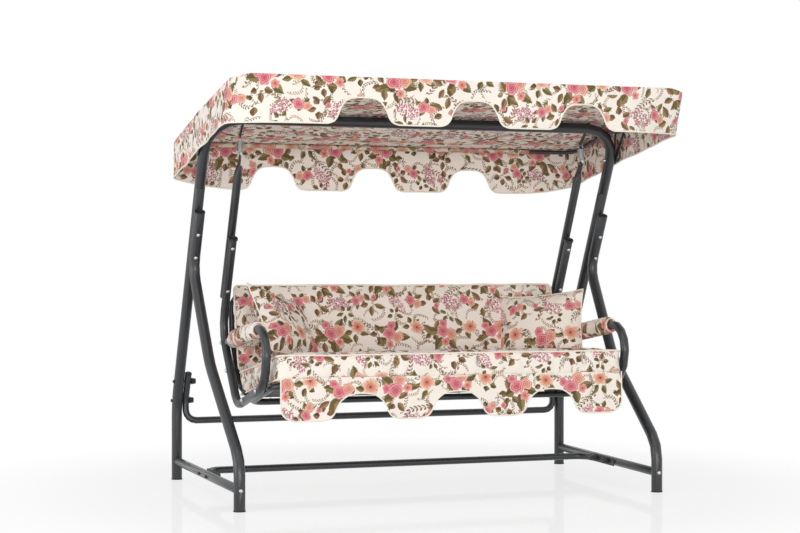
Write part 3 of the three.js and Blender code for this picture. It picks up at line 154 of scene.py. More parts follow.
def mixed(tree, share, first, second):
    """A colour between two others."""
    node = tree.nodes.new("ShaderNodeMix")
    node.data_type = "RGBA"
    plug(tree, share, node.inputs[0])
    for slot, colour in ((node.inputs[6], first), (node.inputs[7], second)):
        plug(tree, (*colour, 1.0) if isinstance(colour, tuple) else colour, slot)
    return node.outputs[2]


def toned(colour, share):
    return tuple(part * share for part in colour)


def vector_sum(tree, kind, first, second):
    node = tree.nodes.new("ShaderNodeVectorMath")
    node.operation = kind
    plug(tree, first, node.inputs[0])
    plug(tree, second, node.inputs[3 if kind == "SCALE" else 1])
    return node.outputs[0]


def turned(tree, vector, angle):
    node = tree.nodes.new("ShaderNodeVectorRotate")
    node.rotation_type = "Z_AXIS"
    plug(tree, vector, node.inputs["Vector"])
    plug(tree, angle, node.inputs["Angle"])
    return node.outputs[0]


def parts_of(tree, vector):
    node = tree.nodes.new("ShaderNodeSeparateXYZ")
    plug(tree, vector, node.inputs[0])
    return Wire(tree, node.outputs[0]), Wire(tree, node.outputs[1])


def on_piece(tree):
    return tree.nodes.new("ShaderNodeTexCoord").outputs["Object"]


def grain(tree, vector, scale, detail=2.0, roughness=0.5):
    node = tree.nodes.new("ShaderNodeTexNoise")
    plug(tree, vector, node.inputs["Vector"])
    node.inputs["Scale"].default_value = scale
    node.inputs["Detail"].default_value = detail
    node.inputs["Roughness"].default_value = roughness
    return node


def clouds(tree, vector, scale, detail=2.0):
    """Noise as a number between nought and one."""
    return Wire(tree, grain(tree, vector, scale, detail).outputs["Fac"])


def sown(tree, where, pitch, jitter, shift):
    """Scatters spots over the cloth: each place's offset from its spot, and three chances of that spot."""
    moved = vector_sum(tree, "ADD", where, (*shift, 0.0))
    cells = tree.nodes.new("ShaderNodeTexVoronoi")
    cells.voronoi_dimensions = "2D"
    cells.inputs["Scale"].default_value = 1.0 / pitch
    cells.inputs["Randomness"].default_value = jitter
    plug(tree, moved, cells.inputs["Vector"])
    offset = vector_sum(tree, "SUBTRACT", moved, cells.outputs["Position"])
    chance = tree.nodes.new("ShaderNodeSeparateColor")
    plug(tree, cells.outputs["Color"], chance.inputs[0])
    return offset, [Wire(tree, slot) for slot in chance.outputs]


def round_place(tree, offset):
    x, y = parts_of(tree, offset)
    return (x * x + y * y) ** 0.5, y.math("ARCTAN2", x)


# The printed cloth: roses, leaves, lilac and sprigs on a cream ground


def rose(tree, offset, radius, chances, deep, pale):
    """A full rose seen from above: rings of petals that spiral out of a dark heart."""
    reach, angle = round_place(tree, offset)
    edge = (angle * 5.0 + chances[0] * ANY_WAY).sine() * 0.08 + 1.0
    edge = edge + (angle * 3.0 + chances[1] * 12.0).sine() * 0.06
    out = reach / radius / edge
    spiral = (out ** 0.8 * 3.4 + angle / TURN + (angle * 4.0 + chances[1] * 9.0).sine() * 0.14).wrap(1.0)
    light = spiral.rise(0.0, 0.9) * 0.5 + out * 0.75 - 0.22
    rim = spiral.rise(0.04, 0.2)
    colour = mixed(tree, light, deep, pale)
    colour = mixed(tree, rim, toned(deep, 0.5), colour)
    return (out * -1.0 + 1.0).rise(0.0, 0.05), colour


def leaves(tree, offset, length, chances, dark, light):
    """Pointed leaves in a fan round a spot, each with its midrib and veins."""
    reach, angle = round_place(tree, offset)
    sector = TURN / 5
    around = angle + chances[0] * ANY_WAY
    number = (around / sector).math("FLOOR")
    spin = around.wrap(sector) - sector / 2
    along = reach * spin.cosine()
    side = reach * spin.sine()
    vary = ((number * 12.9 + chances[1] * 78.2).sine() * 437.5).math("FRACT")
    full = (vary * 0.5 + 0.62) * length
    share = (along - length * 0.24) / (full - length * 0.24)
    half = share * (share * -1.0 + 1.0) * (length * 1.12) * (share * -0.45 + 1.0)
    teeth = (along / length * 70.0).sine() * (length * 0.012)
    inside = (half + teeth - side.size()).rise(0.0, length * 0.03)
    rib = (side.size() - length * 0.012).rise(length * 0.01, 0.0)
    veins = ((along - side.size() * 0.9) / (length * 0.11)).wrap(1.0).rise(0.75, 0.95)
    half_light = side.rise(length * -0.05, length * 0.05)
    colour = mixed(tree, half_light * 0.55 + vary * 0.4, dark, light)
    colour = mixed(tree, veins * 0.45, colour, dark)
    colour = mixed(tree, rib * 0.6, colour, toned(dark, 0.45))
    present = (vary - 0.12).rise(0.0, 0.02) * share.rise(0.0, 0.02) * (share * -1.0 + 1.0).rise(0.0, 0.02)
    return inside * present, colour


def open_flower(tree, offset, radius, chances, petal, heart):
    """A ruffled open flower: five wide petals with dark folds between them, deeper towards the heart."""
    reach, angle = round_place(tree, offset)
    wave = (angle * 2.5 + chances[0] * ANY_WAY).cosine().size()
    ruffle = (angle * 13.0 + chances[1] * 9.0).sine() * 0.05 + (angle * 7.0).sine() * 0.04
    out = reach / radius / (wave ** 0.5 * 0.42 + 0.58 + ruffle)
    streak = ((angle * 17.0 + reach / radius * 3.0).sine() * 0.5 + 0.5) * 0.35
    colour = mixed(tree, out * 1.1 - 0.1 - streak * (out * -1.0 + 1.2), heart, petal)
    colour = mixed(tree, wave.rise(0.3, 0.08) * 0.7, colour, toned(heart, 0.7))
    centre = (reach / radius * -1.0 + 0.16).rise(0.0, 0.06)
    colour = mixed(tree, centre, colour, (0.2, 0.07, 0.02))
    return (out * -1.0 + 1.0).rise(0.0, 0.06), colour


def sprig(tree, offset, length, chances, dark, light):
    """A curved twig with small leaves along both sides."""
    x, y = parts_of(tree, turned(tree, offset, chances[0] * ANY_WAY))
    bend = x * x / length * 0.7 - (x / length * 4.0).sine() * (length * 0.06)
    off = y - bend
    reach = x.size() / length
    stem = (off.size() * -1.0 + length * 0.014).rise(0.0, length * 0.01)
    pitch = length * 0.22
    slot = (x + off.size() * -0.7).wrap(pitch) - pitch / 2
    leaf = (slot / (pitch * 0.3)) ** 2.0
    high = (off.size() - length * 0.1) / (length * 0.09)
    leaf = (leaf + high * high) * -1.0 + 1.0
    inside = stem.most(leaf.rise(0.0, 0.3)) * (reach * -1.0 + 1.0).rise(0.0, 0.04)
    return inside, mixed(tree, chances[1] * 0.7 + leaf.rise(0.2, 0.9) * 0.3, dark, light)


def lilac(tree, where, offset, length, chances, dark, light):
    """A loose bunch of tiny blossoms."""
    x, y = parts_of(tree, turned(tree, offset, chances[0] * ANY_WAY))
    ragged = clouds(tree, where, 55.0)
    bunch = (x / length) ** 2.0 + (y / (length * 0.5)) ** 2.0
    bunch = (bunch * -1.0 + ragged * 1.3 + 0.3).rise(0.0, 0.1)
    spot, tones = sown(tree, where, 0.0088, 0.8, (0.31, 0.17))
    reach, angle = round_place(tree, spot)
    petals = (angle * 2.0 + tones[1] * ANY_WAY).cosine().size() * 0.0018 + 0.0032
    blossom = (petals - reach).rise(0.0, 0.0006)
    colour = mixed(tree, tones[0] * 0.9 + reach * 30.0, dark, light)
    colour = mixed(tree, (reach * -1.0 + 0.0012).rise(0.0, 0.0004), colour, (0.16, 0.03, 0.07))
    return bunch * blossom, colour


def printed_pattern(looks):
    """The print as one node group, read at a place on the cloth in metres."""
    tree = bpy.data.node_groups.new("rose print", "ShaderNodeTree")
    tree.interface.new_socket("Where", in_out="INPUT", socket_type="NodeSocketVector")
    tree.interface.new_socket("Colour", in_out="OUTPUT", socket_type="NodeSocketColor")
    enter = tree.nodes.new("NodeGroupInput")
    leave = tree.nodes.new("NodeGroupOutput")
    flat = enter.outputs[0]
    where = flat
    for scale, reach in ((8.0, 0.03), (85.0, 0.0045)):
        wander = grain(tree, flat, scale, 1.0)
        pull = vector_sum(tree, "SUBTRACT", wander.outputs["Color"], (0.5, 0.5, 0.5))
        where = vector_sum(tree, "ADD", where, vector_sum(tree, "SCALE", pull, reach))
    rose_dark, rose_pale = tuple(looks.rose), tuple(looks.rose_light)
    peach_dark, peach_pale = tuple(looks.peach), tuple(looks.peach_light)
    olive = (tuple(looks.leaf_shade), tuple(looks.leaf_light))
    tan = ((0.1, 0.05, 0.02), (0.38, 0.24, 0.11))
    twig = (0.12, 0.065, 0.035)
    pitch = 0.26
    colour = tuple(looks.ground)

    def lay(layer, share=1.0):
        nonlocal colour
        mask, paint = layer
        colour = mixed(tree, mask * share, colour, paint)

    def posy(x, y, turn):
        """The places round one motif of the repeat, each turned a little its own way."""
        offset, chances = sown(tree, where, pitch, 0.14, (-x, -y))
        return turned(tree, offset, (chances[0] - 0.5) * turn), chances

    def beside(offset, x, y):
        return vector_sum(tree, "ADD", offset, (-x, -y, 0.0))

    for size, shift, length, light in (
        (0.08, (0.11, 0.03), 0.036, (0.45, 0.29, 0.17)),
        (0.095, (0.37, 0.29), 0.044, (0.36, 0.29, 0.14)),
    ):
        offset, chances = sown(tree, where, size, 0.55, shift)
        lay(sprig(tree, offset, length, chances, twig, light), (chances[2] - 0.1).rise(0.0, 0.02))
    offset, chances = posy(0.05, 0.135, 2.0)
    lay(sprig(tree, beside(offset, -0.04, 0.02), 0.07, chances[::-1], twig, tan[1]))
    lay(lilac(tree, where, offset, 0.056, chances, (0.36, 0.11, 0.14), (0.74, 0.4, 0.45)))
    lay(leaves(tree, beside(offset, 0.03, -0.045), 0.042, chances, *olive))
    offset, chances = posy(0.205, 0.135, 3.0)
    lay(leaves(tree, offset, 0.062, chances, *tan))
    lay(rose(tree, beside(offset, 0.012, 0.03), 0.0125, chances, rose_dark, rose_pale))
    offset, chances = posy(0.135, 0.025, 2.4)
    lay(sprig(tree, beside(offset, 0.05, 0.01), 0.06, chances, twig, tan[1]))
    lay(leaves(tree, beside(offset, -0.012, -0.018), 0.06, chances, *olive))
    lay(open_flower(tree, offset, 0.036, chances, (0.93, 0.66, 0.5), peach_dark))
    offset, chances = posy(0.13, 0.155, 2.0)
    lay(leaves(tree, offset, 0.048, chances[::-1], *olive))
    lay(rose(tree, beside(offset, 0.026, 0.006), 0.019, chances, peach_dark, peach_pale))
    lay(rose(tree, beside(offset, -0.006, -0.01), 0.023, chances[::-1], rose_dark, rose_pale))
    offset, chances = posy(0.0, 0.0, 1.6)
    lay(leaves(tree, beside(offset, 0.012, -0.006), 0.09, chances, *olive))
    lay(leaves(tree, beside(offset, -0.03, -0.03), 0.06, chances[::-1], *tan))
    lay(open_flower(tree, beside(offset, 0.038, -0.036), 0.021, chances[::-1], rose_pale, peach_dark))
    lay(rose(tree, beside(offset, 0.04, 0.014), 0.029, chances[::-1], peach_dark, peach_pale))
    lay(rose(tree, beside(offset, -0.02, 0.034), 0.02, chances[::-1], rose_dark, rose_pale))
    lay(rose(tree, offset, 0.03, chances, rose_dark, rose_pale))
    plug(tree, colour, leave.inputs[0])
    return tree


def new_material(name, constants):
    """An empty material with its shader, whose plain values are set on its own sockets."""
    material = bpy.data.materials.new(name)
    material.use_nodes = True
    tree = material.node_tree
    tree.nodes.clear()
    shader = tree.nodes.new("ShaderNodeBsdfPrincipled")
    output = tree.nodes.new("ShaderNodeOutputMaterial")
    tree.links.new(shader.outputs[0], output.inputs["Surface"])
    for socket, value in constants.items():
        shader.inputs[socket].default_value = value
    return material, tree, shader


def relief(tree, shader, height, distance, strength=1.0, under=None):
    """Raises the surface by a height in metres."""
    bump = tree.nodes.new("ShaderNodeBump")
    bump.inputs["Strength"].default_value = strength
    bump.inputs["Distance"].default_value = distance
    plug(tree, height, bump.inputs["Height"])
    if under is not None:
        plug(tree, under, bump.inputs["Normal"])
    plug(tree, bump.outputs[0], shader.inputs["Normal"])
    return bump.outputs[0]


def cloth_places(tree):
    node = tree.nodes.new("ShaderNodeUVMap")
    node.uv_map = "cloth"
    return node.outputs[0]


def woven(tree, where, pitch):
    """Over-and-under height of a plain weave, from nought to one."""
    x, y = parts_of(tree, where)
    turn = TURN / pitch
    return (x * turn).sine() * (y * turn).sine() * 0.5 + 0.5


def printed_cloth(name, pattern, painted_shade=(1.0, 1.0, 1.0), fade=0.0, creases=0.004):
    """Printed canvas: the pattern, a plain weave, soft creases and a slight sheen. Its colour is multiplied
    by a given tint, which for the canopy's underside is painted shade, and its print may fade towards a
    darker dull beige.
    """
    material, tree, shader = new_material(name, {"Sheen Weight": 0.08, "Specular IOR Level": 0.25})
    where = cloth_places(tree)
    print_node = tree.nodes.new("ShaderNodeGroup")
    print_node.node_tree = pattern
    plug(tree, where, print_node.inputs[0])
    # The fade takes the print towards a darker dull beige: partly print showing through from the back,
    # partly painted shade.
    colour = mixed(tree, fade, print_node.outputs[0], (0.6, 0.57, 0.46))
    weave = woven(tree, where, 0.0012)
    worn = clouds(tree, where, 6.0, 3.0)
    tone = weave * 0.05 + worn * 0.08 + 0.91
    # The cloth's tone times the given tint: on the underside a darker beige that is painted shade.
    tint = tree.nodes.new("ShaderNodeMix")
    tint.data_type = "RGBA"
    tint.blend_type = "MULTIPLY"
    tint.inputs[0].default_value = 1.0
    plug(tree, colour, tint.inputs[6])
    tone_and_painted_shade = tree.nodes.new("ShaderNodeCombineColor")
    for slot, part in zip(tone_and_painted_shade.inputs, painted_shade):
        plug(tree, tone * part, slot)
    plug(tree, tone_and_painted_shade.outputs[0], tint.inputs[7])
    plug(tree, tint.outputs[2], shader.inputs["Base Color"])
    soft = grain(tree, where, 14.0, 4.0, 0.55).outputs["Fac"]
    base = relief(tree, shader, soft, creases, 0.55)
    relief(tree, shader, weave, 0.00025, 0.5, base)
    plug(tree, worn * 0.1 + 0.78, shader.inputs["Roughness"])
    return material


def piping_cloth(looks):
    """Cream bias tape round a cord, with a fine grain."""
    material, tree, shader = new_material("cream piping", {"Roughness": 0.8, "Sheen Weight": 0.1})
    coordinates = on_piece(tree)
    slow = clouds(tree, coordinates, 30.0)
    ground = tuple(looks.piping)
    colour = mixed(tree, slow * 0.5, ground, toned(ground, 0.86))
    plug(tree, colour, shader.inputs["Base Color"])
    relief(tree, shader, clouds(tree, coordinates, 900.0), 0.0004, 0.4)
    return material


def powder_coat(looks):
    """Dark grey powder paint: a fine orange peel, small gloss changes and a few rubbed specks."""
    material, tree, shader = new_material("powder coat", {"Coat Weight": 0.25, "Coat Roughness": 0.22})
    coordinates = on_piece(tree)
    slow = clouds(tree, coordinates, 5.0, 3.0)
    speck = clouds(tree, coordinates, 160.0, 3.0).rise(0.7, 0.76)
    paint = tuple(looks.paint)
    colour = mixed(tree, slow, toned(paint, 0.86), toned(paint, 1.14))
    colour = mixed(tree, speck * 0.5, colour, toned(paint, 2.2))
    plug(tree, colour, shader.inputs["Base Color"])
    plug(tree, slow * 0.12 + speck * 0.1 + 0.3, shader.inputs["Roughness"])
    relief(tree, shader, clouds(tree, coordinates, 420.0), 0.0004, 0.35)
    return material


def zinc_plate():
    """Zinc plated steel, dull bright with cloudy patches and a fine grain."""
    material, tree, shader = new_material("zinc plate", {"Metallic": 1.0})
    coordinates = on_piece(tree)
    cloud = clouds(tree, coordinates, 90.0, 3.0)
    plug(tree, mixed(tree, cloud, (0.36, 0.37, 0.39), (0.66, 0.67, 0.69)), shader.inputs["Base Color"])
    plug(tree, cloud * 0.2 + 0.28, shader.inputs["Roughness"])
    relief(tree, shader, clouds(tree, coordinates, 1400.0), 0.0001, 0.3)
    return material


def moulded_plastic():
    """Black moulded plastic with a fine spark-eroded grain."""
    material, tree, shader = new_material("moulded plastic", {})
    coordinates = on_piece(tree)
    slow = clouds(tree, coordinates, 60.0)
    plug(tree, mixed(tree, slow, (0.013, 0.013, 0.014), (0.028, 0.028, 0.03)), shader.inputs["Base Color"])
    plug(tree, slow * 0.15 + 0.42, shader.inputs["Roughness"])
    relief(tree, shader, clouds(tree, coordinates, 1100.0, 3.0), 0.0002, 0.4)
    return material


YARN = 0.0028


def sling_mesh():
    """Dark coated yarn woven open, seen as a fine grid."""
    material, tree, shader = new_material("sling mesh", {"Roughness": 0.55})
    where = cloth_places(tree)
    weave = woven(tree, where, YARN)
    x, _ = parts_of(tree, where)
    rib = (x * (TURN / (2 * YARN))).sine() * 0.5
    tone = weave + rib * 0.4
    plug(tree, mixed(tree, tone, (0.02, 0.021, 0.023), (0.1, 0.105, 0.112)), shader.inputs["Base Color"])
    relief(tree, shader, tone, 0.0006, 0.7)
    return material


# Modelling helpers


def pick_nothing():
    if bpy.context.mode != "OBJECT":
        bpy.ops.object.mode_set(mode="OBJECT")
    bpy.ops.object.select_all(action="DESELECT")


def take(piece):
    pick_nothing()
    piece.select_set(True)
    bpy.context.view_layer.objects.active = piece
    return piece


def apply_all(piece):
    take(piece)
    for modifier in list(piece.modifiers):
        bpy.ops.object.modifier_apply(modifier=modifier.name)
    return piece


def added(step, **sizes):
    """What a primitive's operator adds, picked alone."""
    pick_nothing()
    step(**sizes)
    return bpy.context.view_layer.objects.active


def edit_all(piece, step, **sizes):
    """One edit-mode step on all of a piece."""
    take(piece)
    bpy.ops.object.mode_set(mode="EDIT")
    bpy.ops.mesh.select_all(action="SELECT")
    step(**sizes)
    bpy.ops.object.mode_set(mode="OBJECT")


def face_out(piece):
    edit_all(piece, bpy.ops.mesh.normals_make_consistent, inside=False)


def mark_edges(piece, chosen):
    """Selects the edges for which chosen says so, and stays in edit mode."""
    take(piece)
    bpy.ops.object.mode_set(mode="EDIT")
    bpy.ops.mesh.select_mode(type="EDGE")
    bpy.ops.mesh.select_all(action="DESELECT")
    bpy.ops.object.mode_set(mode="OBJECT")
    for edge in piece.data.edges:
        edge.select = chosen(edge)
    bpy.ops.object.mode_set(mode="EDIT")


def thicken(piece, thickness, offset=0.0, inside=0):
    """Gives cloth its wall, whose inner side may have another finish."""
    wall = piece.modifiers.new("thickness", "SOLIDIFY")
    wall.thickness = thickness
    wall.offset = offset
    wall.material_offset = inside
    return apply_all(piece)


def settle(piece):
    """Puts a piece's place into its mesh."""
    take(piece)
    bpy.ops.object.transform_apply(location=True, rotation=True, scale=True)
    return piece


def smooth(piece, degrees=50.0):
    take(piece)
    bpy.ops.object.shade_smooth_by_angle(angle=math.radians(degrees))
    return piece


def wear(piece, name, materials, body, slot, *nodes):
    """Names a finished piece, gives it its finish and ties it to its body."""
    piece.name = name
    piece.data.name = name
    piece.data.materials.clear()
    for material in materials:
        piece.data.materials.append(material)
    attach(piece, body)
    if nodes:
        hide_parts(*nodes)
    return piece


def join_all(pieces):
    take(pieces[0])
    for piece in pieces:
        piece.select_set(True)
    bpy.ops.object.join()
    return bpy.context.view_layer.objects.active


def wire_through(points, radius, closed=False, sides=3):
    """A round wire or piping through a row of points, as a mesh."""
    curve = bpy.data.curves.new("wire", "CURVE")
    curve.dimensions = "3D"
    curve.bevel_depth = radius
    curve.bevel_resolution = sides
    curve.use_fill_caps = not closed
    line = curve.splines.new("POLY")
    line.points.add(len(points) - 1)
    for place, spot in zip(line.points, points):
        place.co = (*spot, 1.0)
    line.use_cyclic_u = closed
    piece = bpy.data.objects.new("wire", curve)
    bpy.context.scene.collection.objects.link(piece)
    take(piece)
    bpy.ops.object.convert(target="MESH")
    piece = bpy.context.view_layer.objects.active
    bpy.ops.object.shade_smooth()
    return piece


def lay_cloth_map(piece, place):
    """Writes the cloth map: place gives a corner's spot on the flat cloth from its face and its vertex."""
    mesh = piece.data
    layer = mesh.uv_layers.get("cloth") or mesh.uv_layers.new(name="cloth")
    for face in mesh.polygons:
        for loop in face.loop_indices:
            vertex = mesh.vertices[mesh.loops[loop].vertex_index]
            layer.data[loop].uv = place(face, vertex)


def block(half, cuts):
    """A box cut into even squares."""
    piece = settle(added(bpy.ops.mesh.primitive_cube_add, size=2.0, scale=half))

    def along(axis):
        def chosen(edge):
            near, far = (piece.data.vertices[index].co for index in edge.vertices)
            return abs(far[axis] - near[axis]) > 0.99 * (far - near).length

        return chosen

    for axis, count in enumerate(cuts):
        mark_edges(piece, along(axis))
        bpy.ops.mesh.subdivide(number_cuts=count)
        bpy.ops.object.mode_set(mode="OBJECT")
    return piece


def round_corner(x, y, half_x, half_y, radius):
    """Moves a place in a rectangle so that the rectangle's corners become round."""
    over_x = (abs(x) - (half_x - radius)) / radius
    over_y = (abs(y) - (half_y - radius)) / radius
    if over_x <= 0 or over_y <= 0:
        return x, y
    new_x = over_x * math.sqrt(max(0.0, 1 - over_y * over_y / 2))
    new_y = over_y * math.sqrt(max(0.0, 1 - over_x * over_x / 2))
    return (
        math.copysign(half_x - radius + new_x * radius, x),
        math.copysign(half_y - radius + new_y * radius, y),
    )


def puff(piece, seams, looks):
    """Blows a cloth case up round its stuffing. Seams stay where they are, and no place moves too far."""
    rest = [vertex.co.copy() for vertex in piece.data.vertices]
    group = piece.vertex_groups.new(name="seam")
    group.add(seams, 1.0, "REPLACE")
    take(piece)
    cloth = piece.modifiers.new("case", "CLOTH")
    cloth.settings.quality = 5
    cloth.settings.mass = 0.2
    cloth.settings.tension_stiffness = 18.0
    cloth.settings.compression_stiffness = 12.0
    cloth.settings.shear_stiffness = 6.0
    cloth.settings.bending_stiffness = 0.4
    cloth.settings.use_pressure = True
    cloth.settings.uniform_pressure_force = looks.stuffing
    cloth.settings.shrink_min = -0.02
    cloth.settings.effector_weights.gravity = 0.0
    cloth.settings.vertex_group_mass = "seam"
    cloth.collision_settings.use_collision = False
    for number in range(1, 21):
        bpy.context.scene.frame_set(number)
    bpy.ops.object.modifier_apply(modifier="case")
    bpy.context.scene.frame_set(1)
    for vertex, start in zip(piece.data.vertices, rest):
        step = vertex.co - start
        if step.length > looks.swell:
            vertex.co = start + step * (looks.swell / step.length)


def ring_of(piece, chosen):
    """Chosen vertices of a case in order round its middle."""
    spots = [piece.data.vertices[index].co.copy() for index in chosen]
    return sorted(spots, key=lambda spot: math.atan2(spot.y, spot.x))


def box_map(shift):
    """The cloth map of a boxed cushion: its panels and its sides are cut from the same roll."""

    def place(face, vertex):
        spot = vertex.co
        if abs(face.normal.z) > 0.6:
            return spot.x + shift[0], spot.y + shift[1]
        if abs(face.normal.y) > abs(face.normal.x):
            return spot.x + shift[0] + 0.21, spot.z + shift[1] + 0.37
        return spot.y + shift[0] + 0.43, spot.z + shift[1] + 0.11

    return place


def edge_row(piece, half, height):
    """The vertices round a box's sides at a height."""
    near = 1e-5
    return [
        vertex.index for vertex in piece.data.vertices
        if abs(vertex.co.z - height) < near
        and (abs(abs(vertex.co.x) - half[0]) < near or abs(abs(vertex.co.y) - half[1]) < near)
    ]


def boxed_cushion(half, cuts, corner, looks, shift, place, flare=0.0):
    """A cushion of two panels and a boxing strip. Gives the cushion and its two seams."""
    piece = block(half, cuts)
    seams = [edge_row(piece, half, level * half[2]) for level in (1, -1)]
    for vertex in piece.data.vertices:
        x, y, z = vertex.co
        level = z / half[2]
        edge = min(1.0, (x / half[0]) ** 8 + (y / half[1]) ** 4)
        fullness = 0.013 * math.sqrt(1.0 - edge) * (level ** 3)
        ruffle = noise.noise(Vector((x * 7, y * 7, level + shift[0] * 50))) * 0.0035
        x, y = round_corner(x, y, half[0], half[1], corner)
        draw = 1 - 0.005 * (1 - level * level)
        wide = 1 + flare * min(1.0, max(0.0, level + 0.2))
        vertex.co = (x * draw * wide, y * draw + ruffle, z + fullness + ruffle)
    puff(piece, seams[0] + seams[1], looks)
    rings = [ring_of(piece, chosen) for chosen in seams]
    lay_cloth_map(piece, box_map(shift))
    piece.modifiers.new("soften", "SUBSURF")
    apply_all(piece)
    piece.data.transform(place)
    smooth(piece, 60.0)
    return piece, [[place @ spot for spot in ring] for ring in rings]


def piped(rings, name, made, radius=PIPING):
    """Piping sewn into closed seams of the seat's cases, as one piece."""
    cords = [wire_through(ring, radius, closed=True) for ring in rings]
    return wear(join_all(cords), name, [made["piping"]], "seat", "printed_cloth")


def lean(angle):
    return Matrix.Rotation(angle, 4, "X")


def swept_skin(rows, closed=True):
    """A skin through rows of points, one row after another, as a mesh."""
    mesh = bpy.data.meshes.new("skin")
    piece = bpy.data.objects.new("skin", mesh)
    bpy.context.scene.collection.objects.link(piece)
    build = bmesh.new()
    grid = [[build.verts.new(spot) for spot in row] for row in rows]
    for first, second in zip(grid, grid[1:]):
        count = len(first)
        for index in range(count if closed else count - 1):
            after = (index + 1) % count
            build.faces.new((first[index], first[after], second[after], second[index]))
    build.to_mesh(mesh)
    build.free()
    return piece


# The finishes, made once


def finishes(looks):
    if "cloth" not in FINISHES:
        pattern = printed_pattern(looks)
        FINISHES["coat"] = powder_coat(looks)
        FINISHES["zinc"] = zinc_plate()
        FINISHES["plastic"] = moulded_plastic()
        FINISHES["cloth"] = printed_cloth("printed canvas", pattern)
        # The canopy's underside: colour multiplied by (0.86, 0.83, 0.75) as painted shade, and print faded a
        # fifth towards a darker beige, print-through plus painted shade.
        FINISHES["lining"] = printed_cloth("canvas underside", pattern, (0.86, 0.83, 0.75), 0.2, 0.003)
        FINISHES["piping"] = piping_cloth(looks)
        FINISHES["mesh"] = sling_mesh()
    return FINISHES


FINISHES = {}
SLOT_FINISH = {
    "coated_steel": "coat",
    "zinc_steel": "zinc",
    "black_plastic": "plastic",
}
BODY_OF = {node: body for body, nodes in frame["record"]["behaviour"]["bodies"].items() for node in nodes}
SLOT_OF = {row["node"]: row["material_slot"] for row in frame["record"]["subparts"]}


def skin_of(node, edge):
    """A smooth skin over a hard CAD node, with its sharp edges broken."""
    solid = frame["nodes"][node]
    skin = bpy.data.objects.new(node + "_skin", solid.data.copy())
    bpy.context.scene.collection.objects.link(skin)
    take(skin)
    bpy.ops.mesh.customdata_custom_splitnormals_clear()
    edit_all(skin, bpy.ops.mesh.remove_doubles, threshold=0.00002)
    if edge:
        broken = skin.modifiers.new("broken edge", "BEVEL")
        broken.width = edge
        broken.segments = 2
        broken.limit_method = "ANGLE"
        broken.angle_limit = math.radians(58.0)
        broken.use_clamp_overlap = True
        apply_all(skin)
    return smooth(skin, 48.0)


def dye(name, description, default):
    """A colour that a user may change."""
    return FloatVectorProperty(
        name=name, description=description, subtype="COLOR", size=3, default=default, min=0.0, max=1.0)


class SwingLooks(PropertyGroup):
    """Colours and sizes that a user would change."""

    ground: dye("Ground", "Colour of the cloth between its flowers", (0.93, 0.85, 0.765))
    rose: dye("Rose heart", "Deep colour in the roses", (0.56, 0.045, 0.09))
    rose_light: dye("Rose petals", "Pale colour of the roses' outer petals", (0.9, 0.46, 0.46))
    peach: dye("Peach heart", "Deeper colour in the peach flowers", (0.68, 0.2, 0.13))
    peach_light: dye("Peach petals", "Pale colour of the peach flowers", (0.92, 0.6, 0.48))
    leaf_shade: dye("Leaf shade", "Dark side of a leaf", (0.07, 0.055, 0.016))
    leaf_light: dye("Leaf light", "Light side of a leaf", (0.31, 0.24, 0.095))
    piping: dye("Piping", "Colour of the sewn edges", (0.91, 0.85, 0.73))
    paint: dye("Paint", "Colour of the powder coated steel", (0.019, 0.0215, 0.0255))
    edge: FloatProperty(
        name="Broken edge", description="How far the steel's sharp edges are broken",
        subtype="DISTANCE", default=0.0005, min=0.0, max=0.002)
    stuffing: FloatProperty(
        name="Stuffing", description="How hard the cushions are filled",
        default=4.0, min=0.0, max=12.0)
    swell: FloatProperty(
        name="Swell", description="Furthest that a cushion's case moves out",
        subtype="DISTANCE", default=0.012, min=0.0, max=0.03)
    hooks: IntProperty(
        name="Mesh hooks", description="Wire hooks along each long side of the seat mesh",
        default=12, min=4, max=30)
    hem_wave: FloatProperty(
        name="Hem wave", description="How far the hanging cloth waves in and out at its hem",
        subtype="DISTANCE", default=0.006, min=0.0, max=0.03)


def looks_of(context):
    return context.scene.swing_looks


class SWING_OT_steelwork(Operator):
    """Dresses every tube, cap, bolt and link in its paint, plastic or zinc"""

    bl_idname = "swing.steelwork"
    bl_label = "Steelwork"

    def execute(self, context):
        looks = looks_of(context)
        made = finishes(looks)
        for node, slot in SLOT_OF.items():
            if slot not in SLOT_FINISH or node.endswith("_spring"):
                continue
            edge = looks.edge if slot == "coated_steel" else 0.0
            skin = skin_of(node, edge)
            wear(skin, node + "_skin", [made[SLOT_FINISH[slot]]], BODY_OF[node], slot, node)
        return {"FINISHED"}


class SWING_OT_springs(Operator):
    """Winds the two suspension springs"""

    bl_idname = "swing.springs"
    bl_label = "Springs"

    def execute(self, context):
        made = finishes(looks_of(context))
        for name, side in (("left", -1), ("right", 1)):
            node = name + "_spring"
            spring = wire_through(self.wire(side), 0.00185)
            spring.name = node + "_wire"
            spring.data.materials.append(made["zinc"])
            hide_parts(node)
            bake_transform(spring)
        return {"FINISHED"}

    def wire(self, side):
        """One wire: the hook in the lug, close coils, and the end that crosses under the link."""
        middle = at(side * ARM_X, 0.512, 0.0)
        loop, coil, turns, steps = 0.011, 0.0134, 12, 24
        top, low, bar = 1.5135, 1.4700, 1.4616
        spots = []
        for step in range(20):
            angle = -math.pi / 2 + 2 * math.pi * (step - 20) / 23
            height = top + 0.0005 + loop + math.sin(angle) * loop
            spots.append(middle + Vector((math.cos(angle) * loop, 0.0, height)))
        count = turns * steps
        for step in range(count + 1):
            angle = 2 * math.pi * step / steps
            reach = coil * min(1.0, step / (steps / 2))
            fall = (top - low) * step / count
            spots.append(middle + Vector((math.cos(angle) * reach, math.sin(angle) * reach, top - fall)))
        for x, y, z in ((0.35, 0.95, 0.9), (0.05, 0.78, 0.55), (0, 0.5, 0.1), (0, 0, 0), (0, -0.62, 0)):
            spots.append(middle + Vector((x * coil, y * coil, bar + z * (low - bar))))
        return spots


